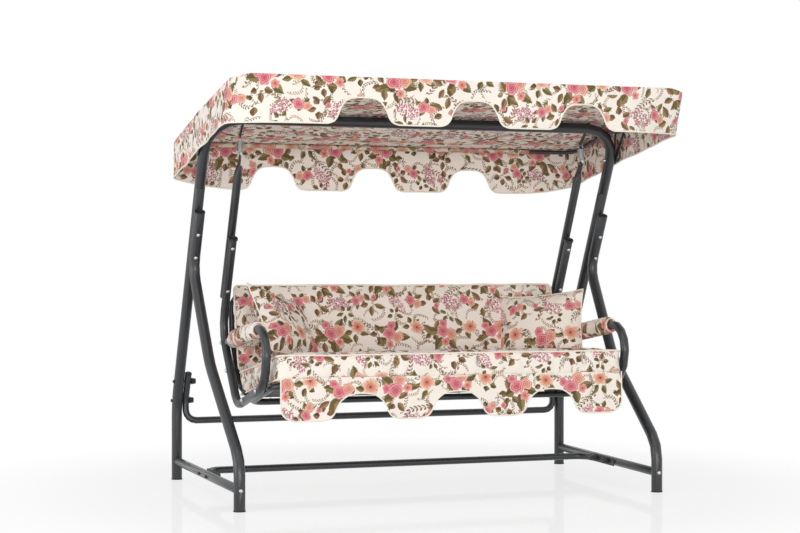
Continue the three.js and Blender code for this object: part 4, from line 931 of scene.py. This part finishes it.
def set_across(pieces, place, outward, degrees):
    """Joins the pieces of a fastener and turns it to face outward along X."""
    both = join_all([settle(piece) for piece in pieces])
    both.data.transform(Matrix.Translation(place) @ Matrix.Rotation(outward * math.pi / 2, 4, "Y"))
    return smooth(both, degrees)


def dome_bolt(place, outward, width=0.0085, high=0.006):
    """A dome head on a washer."""
    washer = added(bpy.ops.mesh.primitive_cylinder_add, vertices=20, radius=width * 1.25, depth=0.0014)
    head = added(bpy.ops.mesh.primitive_uv_sphere_add, segments=20, ring_count=10, radius=width)
    edit_all(head, bpy.ops.mesh.bisect,
             plane_co=(0, 0, 0), plane_no=(0, 0, 1), clear_inner=True, use_fill=True)
    head.scale = (1.0, 1.0, high / width)
    head.location.z = 0.0007
    return set_across([washer, head], place, outward, 40.0)


def cap_nut(place, outward, width=0.0075, high=0.009):
    """A hexagon nut with a closed dome."""
    nut = added(bpy.ops.mesh.primitive_cylinder_add,
                vertices=6, radius=width * 1.15, depth=high * 0.6, location=(0, 0, high * 0.3))
    dome = added(bpy.ops.mesh.primitive_uv_sphere_add,
                 segments=16, ring_count=8, radius=width * 0.92, location=(0, 0, high * 0.5))
    return set_across([nut, dome], place, outward, 35.0)


def seat_plane_z(y):
    return HEEL[1] + (HEEL[0] - y) * SEAT_SLOPE


class SWING_OT_fasteners(Operator):
    """Adds the small bolts and nuts across the arms and the seat ring, and the brace's end plugs"""

    bl_idname = "swing.fasteners"
    bl_label = "Small fasteners"

    def execute(self, context):
        made = finishes(looks_of(context))
        for name, side in (("left", -1), ("right", 1)):
            rows = [
                ((0.790, 0.638), ARM_INNER - 0.0042),
                ((0.689, 0.520), ARM_INNER - 0.0005),
                ((0.400, seat_plane_z(0.4)), SEAT_RAIL_INNER),
                ((0.166, seat_plane_z(0.166)), SEAT_RAIL_INNER),
            ]
            heads = [dome_bolt(at(side * (ARM_OUTER + 0.0008), y, z), side) for (y, z), _ in rows]
            wear(join_all(heads), name + "_side_bolts", [made["zinc"]], "seat", "zinc_steel")
            nuts = [cap_nut(at(side * depth, y, z), -side) for (y, z), depth in rows]
            wear(join_all(nuts), name + "_side_nuts", [made["plastic"]], "seat", "black_plastic")
            self.brace_plug(name, side, made)
        return {"FINISHED"}

    def brace_plug(self, name, side, made):
        """A domed plug in the open top end of the rear brace."""
        solid = frame["nodes"]["rear_brace"]
        spots = [v.co for v in solid.data.vertices if v.co.x * side > 0]
        top = max(spot.z for spot in spots)
        rim = [spot for spot in spots if spot.z > top - 0.018]
        middle = sum(rim, Vector()) / len(rim)
        below = [spot for spot in spots if top - 0.12 < spot.z < top - 0.02]
        run = (middle - sum(below, Vector()) / len(below)).normalized()
        plug_piece = added(bpy.ops.mesh.primitive_uv_sphere_add, segments=24, ring_count=12, radius=0.0158)
        plug_piece.scale.z = 0.45
        settle(plug_piece)
        turn = run.to_track_quat("Z", "Y").to_matrix().to_4x4()
        plug_piece.data.transform(Matrix.Translation(middle + run * 0.002) @ turn)
        smooth(plug_piece, 60.0)
        wear(plug_piece, name + "_brace_plug", [made["plastic"]], "frame", "black_plastic")


class SWING_OT_seat_mesh(Operator):
    """Stretches the sling mesh over the seat ring on wire hooks"""

    bl_idname = "swing.seat_mesh"
    bl_label = "Seat mesh"

    def execute(self, context):
        looks = looks_of(context)
        made = finishes(looks)
        front, rear, inset = 0.05, 0.46, 0.026
        half_x = SEAT_RAIL_INNER + SEAT_RAIL / 2 - inset
        slope = math.atan(SEAT_SLOPE)
        half_y = (rear - front) * math.hypot(1.0, SEAT_SLOPE) / 2 - inset
        middle = (front + rear) / 2
        lift = SEAT_RAIL / 2 + 0.0015
        place = Matrix.Translation(at(0.0, middle, seat_plane_z(middle))) @ lean(-slope)
        place = place @ Matrix.Translation((0, 0, lift))
        cloth = added(bpy.ops.mesh.primitive_grid_add, x_subdivisions=60, y_subdivisions=18, size=2.0)
        for vertex in cloth.data.vertices:
            x, y = vertex.co.x, vertex.co.y
            pull = 0.004 * (math.cos(x * math.pi * looks.hooks) * 0.5 - 0.5) * abs(y) ** 8
            sag = -0.010 * (1 - x ** 4) * (1 - y ** 2)
            vertex.co = (x * half_x, y * (half_y + pull), sag)
        lay_cloth_map(cloth, lambda face, vertex: (vertex.co.x, vertex.co.y))
        thicken(cloth, 0.0015)
        cloth.data.transform(place)
        smooth(cloth, 60.0)
        wear(cloth, "sling_mesh", [made["mesh"]], "seat", "seat_mesh", "seat_mesh")
        hooks = []
        for axis, count in ((1, looks.hooks), (0, 4)):
            for row in (-1, 1):
                for number in range(count):
                    share = (number + 0.5) / count * 2 - 1
                    start, out = Vector((row * half_x, share * half_y, 0.0)), Vector((row, 0, 0))
                    if axis:
                        start, out = Vector((share * half_x, row * half_y, 0.0)), Vector((0, row, 0))
                    hooks.append(self.hook(place, start, out, inset, lift))
        held = wear(join_all(hooks), "mesh_hooks", [made["zinc"]], "seat", "zinc_steel")
        flat = (2 * half_x, 2 * half_y)
        flat[0] * flat[1]
        return {"FINISHED"}

    def hook(self, place, start, out, inset, lift):
        """One wire from an eyelet at the mesh's edge over the rail."""
        down = Vector((0, 0, -1))
        reach = SEAT_RAIL / 2 + 0.0016
        centre = start + out * inset + down * lift
        points = [start + out * away - down * 0.0022 for away in (-0.006, 0.004)]
        for step in range(7):
            angle = math.radians(100 - step * 22)
            points.append(centre + out * (math.cos(angle) * reach) - down * (math.sin(angle) * reach))
        return wire_through([place @ spot for spot in points], 0.0011, sides=1)


class SWING_OT_cushions(Operator):
    """Stuffs the seat cushion and the back cushion and pipes their seams"""

    bl_idname = "swing.cushions"
    bl_label = "Cushions"

    def execute(self, context):
        looks = looks_of(context)
        made = finishes(looks)
        flat_share = 0.43
        slope = math.atan(0.165)
        deep, thick = 0.679 * math.cos(slope), 0.11
        place = Matrix.Translation(at(0.0, 0.0, 0.5155)) @ lean(-slope)
        place = place @ Matrix.Translation((0, deep / 2, thick / 2))
        half = (0.766, deep / 2 - 0.002, thick * flat_share)
        seat, seams = boxed_cushion(half, (95, 41, 5), 0.028, looks, (0.0, 0.0), place)
        wear(seat, "seat_cushion_case", [made["cloth"]], "seat", "printed_cloth", "seat_cushion")
        piped(seams, "seat_cushion_piping", made)
        foot, top, thick = at(0.0, 0.727, 0.502), at(0.0, 0.829, 0.888), 0.118
        rise = top - foot
        tilt = math.atan2(rise.y, rise.z)
        place = Matrix.Translation(foot) @ lean(math.pi / 2 - tilt)
        place = place @ Matrix.Translation((0, rise.length / 2 - 0.005, 0))
        half = (0.743, rise.length / 2 - 0.006, thick * flat_share)
        back, seams = boxed_cushion(half, (93, 25, 5), 0.019, looks, (0.62, 0.57), place, 0.03)
        wear(back, "back_cushion_case", [made["cloth"]], "seat", "printed_cloth", "back_cushion")
        piped(seams, "back_cushion_piping", made)
        return {"FINISHED"}


class SWING_OT_pillows(Operator):
    """Stuffs the two loose pillows and pipes their edges"""

    bl_idname = "swing.pillows"
    bl_label = "Pillows"

    def execute(self, context):
        looks = looks_of(context)
        made = finishes(looks)
        self.pillow("left", Vector((-0.5968, 0.5310, 0.7195)), (-15.0, 30.0, 50.0), (0.15, 0.9), looks, made)
        self.pillow("right", Vector((0.6287, 0.5752, 0.6930)), (6.0, 18.0, -42.0), (0.52, 0.33), looks, made)
        return {"FINISHED"}

    def pillow(self, name, spot, pose, shift, looks, made):
        half = (0.203, 0.168, 0.004)
        tilt, back, turn = pose
        piece = block(half, (39, 35, 1))
        rim = edge_row(piece, half, 0.0)
        for vertex in piece.data.vertices:
            u, v = vertex.co.x / half[0], vertex.co.y / half[1]
            fill = max(0.0, (1 - abs(u) ** 3) * (1 - abs(v) ** 3)) ** 0.6
            crease = noise.noise(Vector((u * 2.2, v * 2.2, shift[0] * 9))) * 0.006 * fill
            side = vertex.co.z / half[2]
            pull_x = 1 - 0.06 * (1 - v * v) * u * u
            pull_y = 1 - 0.08 * (1 - u * u) * v * v
            vertex.co = (u * half[0] * pull_x, v * half[1] * pull_y, side * (0.003 + 0.046 * fill) + crease)
        puff(piece, rim, looks)
        ring = ring_of(piece, rim)
        under = 0.31
        lay_cloth_map(piece, lambda face, v: (
            v.co.x + shift[0], v.co.y + shift[1] + (under if face.normal.z < 0 else 0.0)))
        piece.modifiers.new("soften", "SUBSURF")
        apply_all(piece)
        turn_all = Matrix.Rotation(math.radians(turn), 4, "Z") @ lean(math.radians(90 - back))
        turn_all = turn_all @ Matrix.Rotation(math.radians(tilt), 4, "Z")
        place = Matrix.Translation(at(*spot)) @ turn_all
        piece.data.transform(place)
        smooth(piece, 70.0)
        wear(piece, name + "_pillow_case", [made["cloth"]], "seat", "printed_cloth", name + "_pillow")
        piped([[place @ spot for spot in ring]], name + "_pillow_piping", made, 0.0028)


class SWING_OT_arm_pads(Operator):
    """Wraps a stuffed sleeve round each armrest"""

    bl_idname = "swing.arm_pads"
    bl_label = "Armrest pads"

    def execute(self, context):
        made = finishes(looks_of(context))
        bar_front, bar_rear = (0.057, 0.735), (0.787, 0.635)
        drop = (bar_front[1] - bar_rear[1]) / (bar_rear[0] - bar_front[0])
        for name, side in (("left", -1), ("right", 1)):
            start, end = (
                at(side * ARM_X, y, bar_front[1] - (y - bar_front[0]) * drop) for y in (0.190, 0.640))
            rows, ends, spans = self.rows(start, end, side)
            skin = swept_skin(rows)
            face_out(skin)
            count = len(rows[0])
            lay_cloth_map(skin, lambda face, v: (
                spans[v.index // count] + 0.3, (v.index % count) / count * 0.2 + side * 0.4))
            smooth(skin, 60.0)
            wear(skin, name + "_arm_sleeve", [made["cloth"]], "seat", "printed_cloth", name + "_armrest_pad")
            piped(ends, name + "_arm_sleeve_piping", made, 0.0026)
        return {"FINISHED"}

    def rows(self, start, end, side):
        """Rings along the sleeve: out of one end's mouth, along the skin and back inside."""
        run = (end - start).normalized()
        up = Vector((0, -run.z, run.y))
        across = Vector((1, 0, 0))
        length = (end - start).length
        count, steps = 40, 44
        rows, spans = [], []

        def ring(distance, wide, tall, wobble, lift=0.0):
            middle = start + run * distance + up * lift
            spots = []
            for step in range(count):
                angle = 2 * math.pi * step / count
                c, s = math.cos(angle), math.sin(angle)
                bump = 1.0 + wobble * noise.noise(Vector((distance * 28, c * 1.6, s * 1.6 + side * 5)))
                spots.append(middle + across * (c * wide * bump) + up * (s * tall * bump + wobble * 0.01))
            rows.append(spots)
            spans.append(distance)
            return spots

        tube = ARM_TUBE / 2 + 0.0006
        wide, tall = 0.0245, 0.0305
        inside = ((0.012, tube), (0.0015, tube), (0.0, tube + 0.001))
        for depth, reach in inside:
            ring(depth, reach, reach, 0.0)
        mouth = ring(0.001, wide, tall, 0.0)
        for step in range(1, steps):
            share = step / steps
            full = math.sin(min(1.0, min(share, 1 - share) * 12.0) * math.pi / 2)
            ring(length * share, wide + 0.0060 * full, tall + 0.0085 * full, 0.05 * full, 0.0025 * full)
        tail = ring(length - 0.001, wide, tall, 0.0)
        for depth, reach in reversed(inside):
            ring(length - depth, reach, reach, 0.0)
        return rows, [mouth, tail], spans


# Half of one scallop: how high the hem stands at a distance from its middle, as a share of its height
SKIRT_ARCH = (
    (0.0, 1.0), (0.046, 0.965), (0.088, 0.745), (0.106, 0.5), (0.120, 0.22), (0.138, 0.07), (0.175, 0.0))
CANOPY_ARCH = (
    (0.0, 1.0), (0.037, 0.985), (0.07, 0.87), (0.0985, 0.5), (0.109, 0.25), (0.125, 0.08), (0.155, 0.0))


def scallop(table, distance):
    """The height of an arch at a distance from its middle, on a smooth curve through its table."""
    if distance >= table[-1][0]:
        return 0.0
    steps = [(far[1] - near[1]) / (far[0] - near[0]) for near, far in zip(table, table[1:])]
    slopes = [0.0, *(2 * first * second / (first + second) for first, second in zip(steps, steps[1:])), 0.0]
    number = max(index for index, row in enumerate(table) if row[0] <= distance)
    (start, high), (end, low) = table[number:number + 2]
    width = end - start
    t = (distance - start) / width
    along = high + (low - high) * (3 * t ** 2 - 2 * t ** 3)
    return along + width * (t * (1 - t) ** 2 * slopes[number] - t ** 2 * (1 - t) * slopes[number + 1])


def hem_rise(x, pitch, table, off):
    """How far the hem rises at a place across: three arches between hanging lobes."""
    nearest = off + max(-1, min(1, round((x - off) / pitch))) * pitch
    return scallop(table, abs(x - nearest))


def hem_places(edge, pitch, table, step, off):
    """Places across a scalloped edge, close together where the hem climbs."""
    half = table[-1][0]
    marks = [-edge]
    for middle in (off - pitch, off, off + pitch):
        marks.extend(middle + half * (number / 30 - 1) for number in range(61))
    marks.append(edge)
    filled = []
    for near, far in zip(marks, marks[1:]):
        parts = max(1, math.ceil((far - near) / step))
        filled.extend(near + (far - near) * part / parts for part in range(parts))
    return filled + [edge]


class SWING_OT_skirt(Operator):
    """Sews the scalloped skirt along the seat cushion's lower front seam"""

    bl_idname = "swing.skirt"
    bl_label = "Skirt"

    def execute(self, context):
        looks = looks_of(context)
        made = finishes(looks)
        half, top, drop = 0.755, 0.526, 0.174
        pitch, off, tall, wide, corner = 0.42, 0.005, 0.108, 0.07, 0.05
        foot, levels = top - drop, 12
        places = hem_places(half, pitch, SKIRT_ARCH, 0.008, off)
        rows = []
        for level in range(levels + 1):
            share = level / levels
            row = []
            for x in places:
                edge = half - abs(x)
                low = foot + tall * hem_rise(x, pitch, SKIRT_ARCH, off)
                if edge < wide:
                    low = foot + corner - corner * math.sqrt(max(0.0, 1 - (1 - edge / wide) ** 2))
                z = top + (low - top) * share
                wave = math.sin(x * 15.3) * 0.6 + math.sin(x * 31.0 + 1.0) * 0.3
                wave += math.sin(x * 7.0 + 2.0) * 0.4
                y = -0.0007 - 0.003 * share + looks.hem_wave * wave * share ** 1.5 * 0.8
                row.append(at(x, y, z))
            rows.append(row)
        sheet = swept_skin(rows, closed=False)
        lay_cloth_map(sheet, lambda face, v: (v.co.x + 0.27, v.co.z + 0.84))
        thicken(sheet, 0.0016)
        smooth(sheet, 60.0)
        wear(sheet, "skirt_cloth", [made["cloth"]], "seat", "printed_cloth", "skirt")
        hem = [row[0] for row in rows] + rows[-1][1:] + [row[-1] for row in reversed(rows[:-1])]
        piping = wear(wire_through(hem, 0.0032), "skirt_piping", [made["piping"]], "seat", "printed_cloth")
        area = 0.0
        for near, far, low_near, low_far in zip(places, places[1:], rows[-1], rows[-1][1:]):
            area += (far - near) * (top - (low_near.z + low_far.z) / 2)
        return {"FINISHED"}


# The canopy's cloth from its front edge over the top bar to its rear edge, as depth and height
CANOPY_FRONT = (-0.150, 1.734)
CANOPY_RIDGE = (0.457, 1.635)
CANOPY_REAR = (0.970, 1.530)


def canopy_z(y):
    """Height of the canopy's cloth at a depth from the front feet."""
    edge, high = CANOPY_FRONT if y < CANOPY_RIDGE[0] else CANOPY_REAR
    ridge, low = CANOPY_RIDGE
    return low + (high - low) * (y - ridge) / (edge - ridge)


class SWING_OT_canopy(Operator):
    """Sews the canopy as one sheet with its hanging valance, pipes the hem and sleeves its two rails"""

    bl_idname = "swing.canopy"
    bl_label = "Canopy"

    half = 1.0
    taper = 0.020
    front = CANOPY_FRONT[0]
    rear = CANOPY_REAR[0]
    corner = 0.03
    rails = (front + 0.036, rear - 0.036)
    pitch = 0.48
    tall = 0.107
    front_off = 0.027
    rear_off = -0.055

    def rim(self):
        """The canopy's edge in plan, each place with how far the hem rises there."""
        straight = self.half - self.corner
        near, far = self.front + self.corner, self.rear - self.corner
        spots = []

        def turn(cx, cy, start):
            for step in range(1, 6):
                angle = start + math.pi / 2 * step / 6
                spots.append((cx + math.cos(angle) * self.corner, cy + math.sin(angle) * self.corner, 0.0))

        def side(x, first, last):
            count = 48
            spots.extend((x, first + (last - first) * number / count, 0.0) for number in range(count + 1))

        def scalloped(y, off):
            across = hem_places(straight, self.pitch, CANOPY_ARCH, 0.016, off)
            return [(x, y, self.tall * hem_rise(x, self.pitch, CANOPY_ARCH, off)) for x in across]

        spots.extend(scalloped(self.front, self.front_off))
        turn(straight, near, -math.pi / 2)
        side(self.half, near, far)
        turn(straight, far, 0.0)
        spots.extend(reversed(scalloped(self.rear, self.rear_off)))
        turn(-straight, far, math.pi / 2)
        side(-self.half, far, near)
        turn(-straight, near, math.pi)
        return spots

    def depth(self, y):
        return (y - self.front) / (self.rear - self.front)

    def edge(self, x, y):
        """The top edge, a little narrower at the front."""
        return x * (1 - self.taper * (1 - self.depth(y)) / self.half), y

    def hem(self, x, y, rise):
        """The hem: the short ends draw its front corners back and its rear corners up."""
        depth = self.depth(y)
        near = max(0.0, 1 - (self.half - abs(x)) / 0.33) ** 2
        drop = 0.189 + 0.014 * depth
        return Vector((x, y + 0.095 * near * (1 - depth), canopy_z(y) - drop + rise + 0.045 * near * depth))

    def droop(self, x, y):
        """How far the cloth falls at a front corner, outside the bend of the rail."""
        away = math.hypot(self.half - abs(x), y - self.front)
        return 0.026 * max(0.0, 1 - away / 0.085) ** 1.2

    def sag(self, x, y):
        """How far the cloth hangs between the rails, the top bar and the sides."""
        ridge = CANOPY_RIDGE[0]
        rail = self.rails[0] if y < ridge else self.rails[1]
        span = min(1.0, max(0.0, (y - rail) / (ridge - rail)))
        across = max(0.0, 1 - abs(x / self.half) ** 6)
        dip = 0.009 * math.sin(math.pi * span) * across
        ripple = 0.0018 * math.sin(x * 21 + math.sin(y * 9) * 2) * math.sin(math.pi * span) * across
        return dip + ripple

    def execute(self, context):
        looks = looks_of(context)
        made = finishes(looks)
        rim = self.rim()
        middle_y = (self.front + self.rear) / 2
        rings = 28
        rows = []
        for ring in range(1, rings + 1):
            share = ring / rings
            row = []
            for x, y, _ in rim:
                edge_x, edge_y = self.edge(x, y)
                px, py = edge_x * share, middle_y + (edge_y - middle_y) * share
                z = canopy_z(py) - self.sag(px, py) - (0.0015 if ring == rings else 0.0) - self.droop(px, py)
                row.append(at(px, py, z))
            rows.append(row)
        rows.extend(self.hang(rim, looks))
        sheet = self.sew(rows, len(rim))
        # The inner side wears the lining, whose darker tint is painted shade.
        sides = [made["cloth"], made["lining"]]
        wear_two(sheet, "canopy_cloth", sides, "canopy", "printed_cloth", "canopy_cover")
        piping = wire_through(rows[-1], 0.0034, closed=True)
        wear(piping, "canopy_piping", [made["piping"]], "canopy", "printed_cloth")
        flat = (2.38, 1.52)
        area = min(2.0 * 1.125 + self.hem_area(rim), flat[0] * flat[1])
        self.sleeve("front_rail_sleeve", self.rails[0], -0.90, 0.90, made)
        self.sleeve("rear_rail_sleeve", self.rails[1], -0.90, 0.72, made)
        return {"FINISHED"}

    def hang(self, rim, looks):
        """Rows of the valance from just under the edge down to the hem, with soft upright folds."""
        levels = 10
        rows = []
        for level in range(1, levels + 1):
            share = level / levels
            row = []
            for index, (x, y, rise) in enumerate(rim):
                edge_x, edge_y = self.edge(x, y)
                top = Vector((edge_x, edge_y, canopy_z(y) - 0.0015 - self.droop(edge_x, edge_y)))
                spot = top.lerp(self.hem(x, y, rise), share)
                before, after = rim[index - 1], rim[(index + 1) % len(rim)]
                run = Vector((after[0] - before[0], after[1] - before[1], 0.0)).normalized()
                out = Vector((run.y, -run.x, 0.0))
                along = x + y * 1.3
                wave = math.sin(along * 11.0) * 0.5 + math.sin(along * 23.0 + 1.3) * 0.35
                wave += math.sin(along * 5.0) * 0.4
                spot += out * (looks.hem_wave * wave * share ** 1.4 - 0.004 * share)
                row.append(at(*spot))
            rows.append(row)
        return rows

    def sew(self, rows, count):
        """Makes the rows one sheet with its middle closed, its map laid and its thickness given."""
        sheet = swept_skin(rows)
        mark_edges(sheet, lambda edge: max(edge.vertices) < count)
        bpy.ops.mesh.edge_face_add()
        bpy.ops.object.mode_set(mode="OBJECT")
        face_out(sheet)
        lay_cloth_map(sheet, self.cloth_place)
        thicken(sheet, 0.0016, inside=1)
        return smooth(sheet, 50.0)

    def sleeve(self, name, y, start, end, made):
        """A sewn channel of the canopy's cloth round one rail of its ring."""
        z = canopy_z(y) - 0.01257
        round_steps, steps = 20, 90
        rows, spans = [], []
        for number in range(steps + 1):
            x = start + (end - start) * number / steps
            row = []
            for step in range(round_steps):
                angle = 2 * math.pi * step / round_steps
                crease = noise.noise(Vector((x * 26, math.cos(angle) * 1.5, math.sin(angle) * 1.5))) * 0.0007
                crease = min(crease, 0.0) if math.sin(angle) > 0.3 else crease
                reach = 0.0103 + (crease if 0 < number < steps else 0.0)
                row.append(at(x, y + math.cos(angle) * reach, z + math.sin(angle) * reach))
            rows.append(row)
            spans.append(x)
        skin = swept_skin(rows)
        face_out(skin)
        lay_cloth_map(skin, lambda face, v: (
            spans[v.index // round_steps] + 0.09, v.index % round_steps * 0.0032))
        thicken(skin, 0.0008, -1.0)
        smooth(skin, 60.0)
        # The sleeves wear the lining, with its painted shade.
        wear(skin, name, [made["lining"]], "canopy", "printed_cloth")

    def hem_area(self, rim):
        area = 0.0
        for (x, y, rise), (nx, ny, next_rise) in zip(rim, rim[1:] + rim[:1]):
            area += math.hypot(nx - x, ny - y) * (0.196 - (rise + next_rise) / 2)
        return area

    def cloth_place(self, face, vertex):
        spot = vertex.co
        x, y, z = spot.x, spot.y - FRONT_FEET_Y, spot.z
        if abs(face.normal.z) > 0.75:
            return x + 0.09, y + 0.5
        if abs(face.normal.y) > abs(face.normal.x):
            return (x + 0.09, z - 0.93) if face.normal.y < 0 else (0.55 - x, z - 0.2)
        return y * (1 if face.normal.x > 0 else -1) + 0.77, z - 0.61


def wear_two(piece, name, materials, body, slot, node):
    """As wear, but keeps which face has which of two finishes."""
    marks = [face.material_index for face in piece.data.polygons]
    wear(piece, name, materials, body, slot, node)
    for face, mark in zip(piece.data.polygons, marks):
        face.material_index = mark
    return piece


def area_light(name, place, aim_at, size, power):
    light = bpy.data.lights.new(name, "AREA")
    light.shape = "RECTANGLE"
    light.size, light.size_y = size
    light.energy = power
    lamp = bpy.data.objects.new(name, light)
    bpy.context.scene.collection.objects.link(lamp)
    lamp.location = place
    lamp.rotation_euler = (Vector(aim_at) - Vector(place)).to_track_quat("-Z", "Y").to_euler()
    return lamp


def white_for_camera(tree, surface, white, share):
    """Mixes a surface with plain white where the camera, gloss or glass sees it."""
    path = tree.nodes.new("ShaderNodeLightPath")
    seen = Wire(tree, path.outputs["Is Camera Ray"]).most(Wire(tree, path.outputs["Is Glossy Ray"]))
    seen = seen.most(Wire(tree, path.outputs["Is Transmission Ray"])) * share
    mix = tree.nodes.new("ShaderNodeMixShader")
    plug(tree, seen, mix.inputs[0])
    plug(tree, surface, mix.inputs[1])
    plug(tree, white, mix.inputs[2])
    return mix.outputs[0]


class SWING_OT_stage(Operator):
    """Sets the floor, the soft light and the camera"""

    bl_idname = "swing.stage"
    bl_label = "Stage"

    def execute(self, context):
        self.floor()
        self.world(context)
        area_light("front light", (-1.6, -10.0, 1.7), (0.0, 0.0, 0.85), (8.0, 3.0), 395.0)
        area_light("left light", (-5.6, -0.6, 1.4), (0.0, 0.0, 1.2), (4.0, 2.4), 75.0)
        area_light("high light", (-2.0, -3.0, 4.4), (0.0, 0.0, 0.6), (3.0, 3.0), 30.0)
        self.camera(context)
        context.scene.view_settings.view_transform = "Standard"
        return {"FINISHED"}

    def floor(self):
        floor = settle(added(bpy.ops.mesh.primitive_plane_add, size=60.0, location=(0.0, 0.0, -0.0005)))
        floor.name = "studio_floor"
        constants = {"Base Color": (0.9, 0.9, 0.9, 1.0), "Roughness": 0.75}
        material, tree, shader = new_material("studio floor", constants)
        glow = tree.nodes.new("ShaderNodeEmission")
        glow.inputs["Strength"].default_value = 1.0
        polish = tree.nodes.new("ShaderNodeBsdfGlossy")
        polish.inputs["Roughness"].default_value = 0.06
        polish.inputs["Color"].default_value = (1.0, 1.0, 1.0, 1.0)
        polished = tree.nodes.new("ShaderNodeMixShader")
        polished.inputs[0].default_value = 0.09
        plug(tree, glow.outputs[0], polished.inputs[1])
        plug(tree, polish.outputs[0], polished.inputs[2])
        reach, _ = round_place(tree, tree.nodes.new("ShaderNodeTexCoord").outputs["Object"])
        share = reach.rise(1.2, 2.4) * 0.22 + 0.78
        output = next(node for node in tree.nodes if node.type == "OUTPUT_MATERIAL")
        seen = white_for_camera(tree, shader.outputs[0], polished.outputs[0], share)
        plug(tree, seen, output.inputs["Surface"])
        floor.data.materials.append(material)

    def world(self, context):
        world = bpy.data.worlds.new("studio")
        world.use_nodes = True
        context.scene.world = world
        tree = world.node_tree
        tree.nodes.clear()
        skies = []
        for strength in (0.5, 1.0):
            sky = tree.nodes.new("ShaderNodeBackground")
            sky.inputs["Color"].default_value = (1.0, 1.0, 1.0, 1.0)
            sky.inputs["Strength"].default_value = strength
            skies.append(sky.outputs[0])
        output = tree.nodes.new("ShaderNodeOutputWorld")
        plug(tree, white_for_camera(tree, *skies, 1.0), output.inputs["Surface"])

    def camera(self, context):
        camera = bpy.data.cameras.new("camera")
        camera.sensor_width = 36.0
        camera.lens = 1722.75 / 800 * 36.0
        seen = bpy.data.objects.new("camera", camera)
        context.scene.collection.objects.link(seen)
        seen.location = at(-2.532, -6.7017, 0.9894)
        seen.rotation_euler = Vector((0.3224, 0.9466, -0.0018)).to_track_quat("-Z", "Y").to_euler()
        context.scene.camera = seen


class SWING_PT_panel(Panel):
    """The swing seat's sizes, colours and pieces"""

    bl_idname = "SWING_PT_panel"
    bl_label = "Garden Swing Seat"
    bl_space_type = "VIEW_3D"
    bl_region_type = "UI"
    bl_category = "Swing Seat"

    def draw(self, context):
        looks = looks_of(context)
        for name in looks.bl_rna.properties.keys():
            if name not in {"rna_type", "name"}:
                self.layout.prop(looks, name)
        for step in STEPS:
            self.layout.operator(step.bl_idname)


STEPS = (
    SWING_OT_steelwork,
    SWING_OT_springs,
    SWING_OT_fasteners,
    SWING_OT_seat_mesh,
    SWING_OT_cushions,
    SWING_OT_pillows,
    SWING_OT_arm_pads,
    SWING_OT_skirt,
    SWING_OT_canopy,
    SWING_OT_stage,
)
CLASSES = (SwingLooks, *STEPS, SWING_PT_panel)


def register():
    for made in CLASSES:
        bpy.utils.register_class(made)
    bpy.types.Scene.swing_looks = PointerProperty(type=SwingLooks)


def unregister():
    del bpy.types.Scene.swing_looks
    for made in reversed(CLASSES):
        bpy.utils.unregister_class(made)


def main():
    register()
    bpy.ops.swing.steelwork()
    bpy.ops.swing.springs()
    bpy.ops.swing.fasteners()
    bpy.ops.swing.seat_mesh()
    bpy.ops.swing.cushions()
    bpy.ops.swing.pillows()
    bpy.ops.swing.arm_pads()
    bpy.ops.swing.skirt()
    bpy.ops.swing.canopy()
    bpy.ops.swing.stage()


if __name__ == "__main__":
    main()
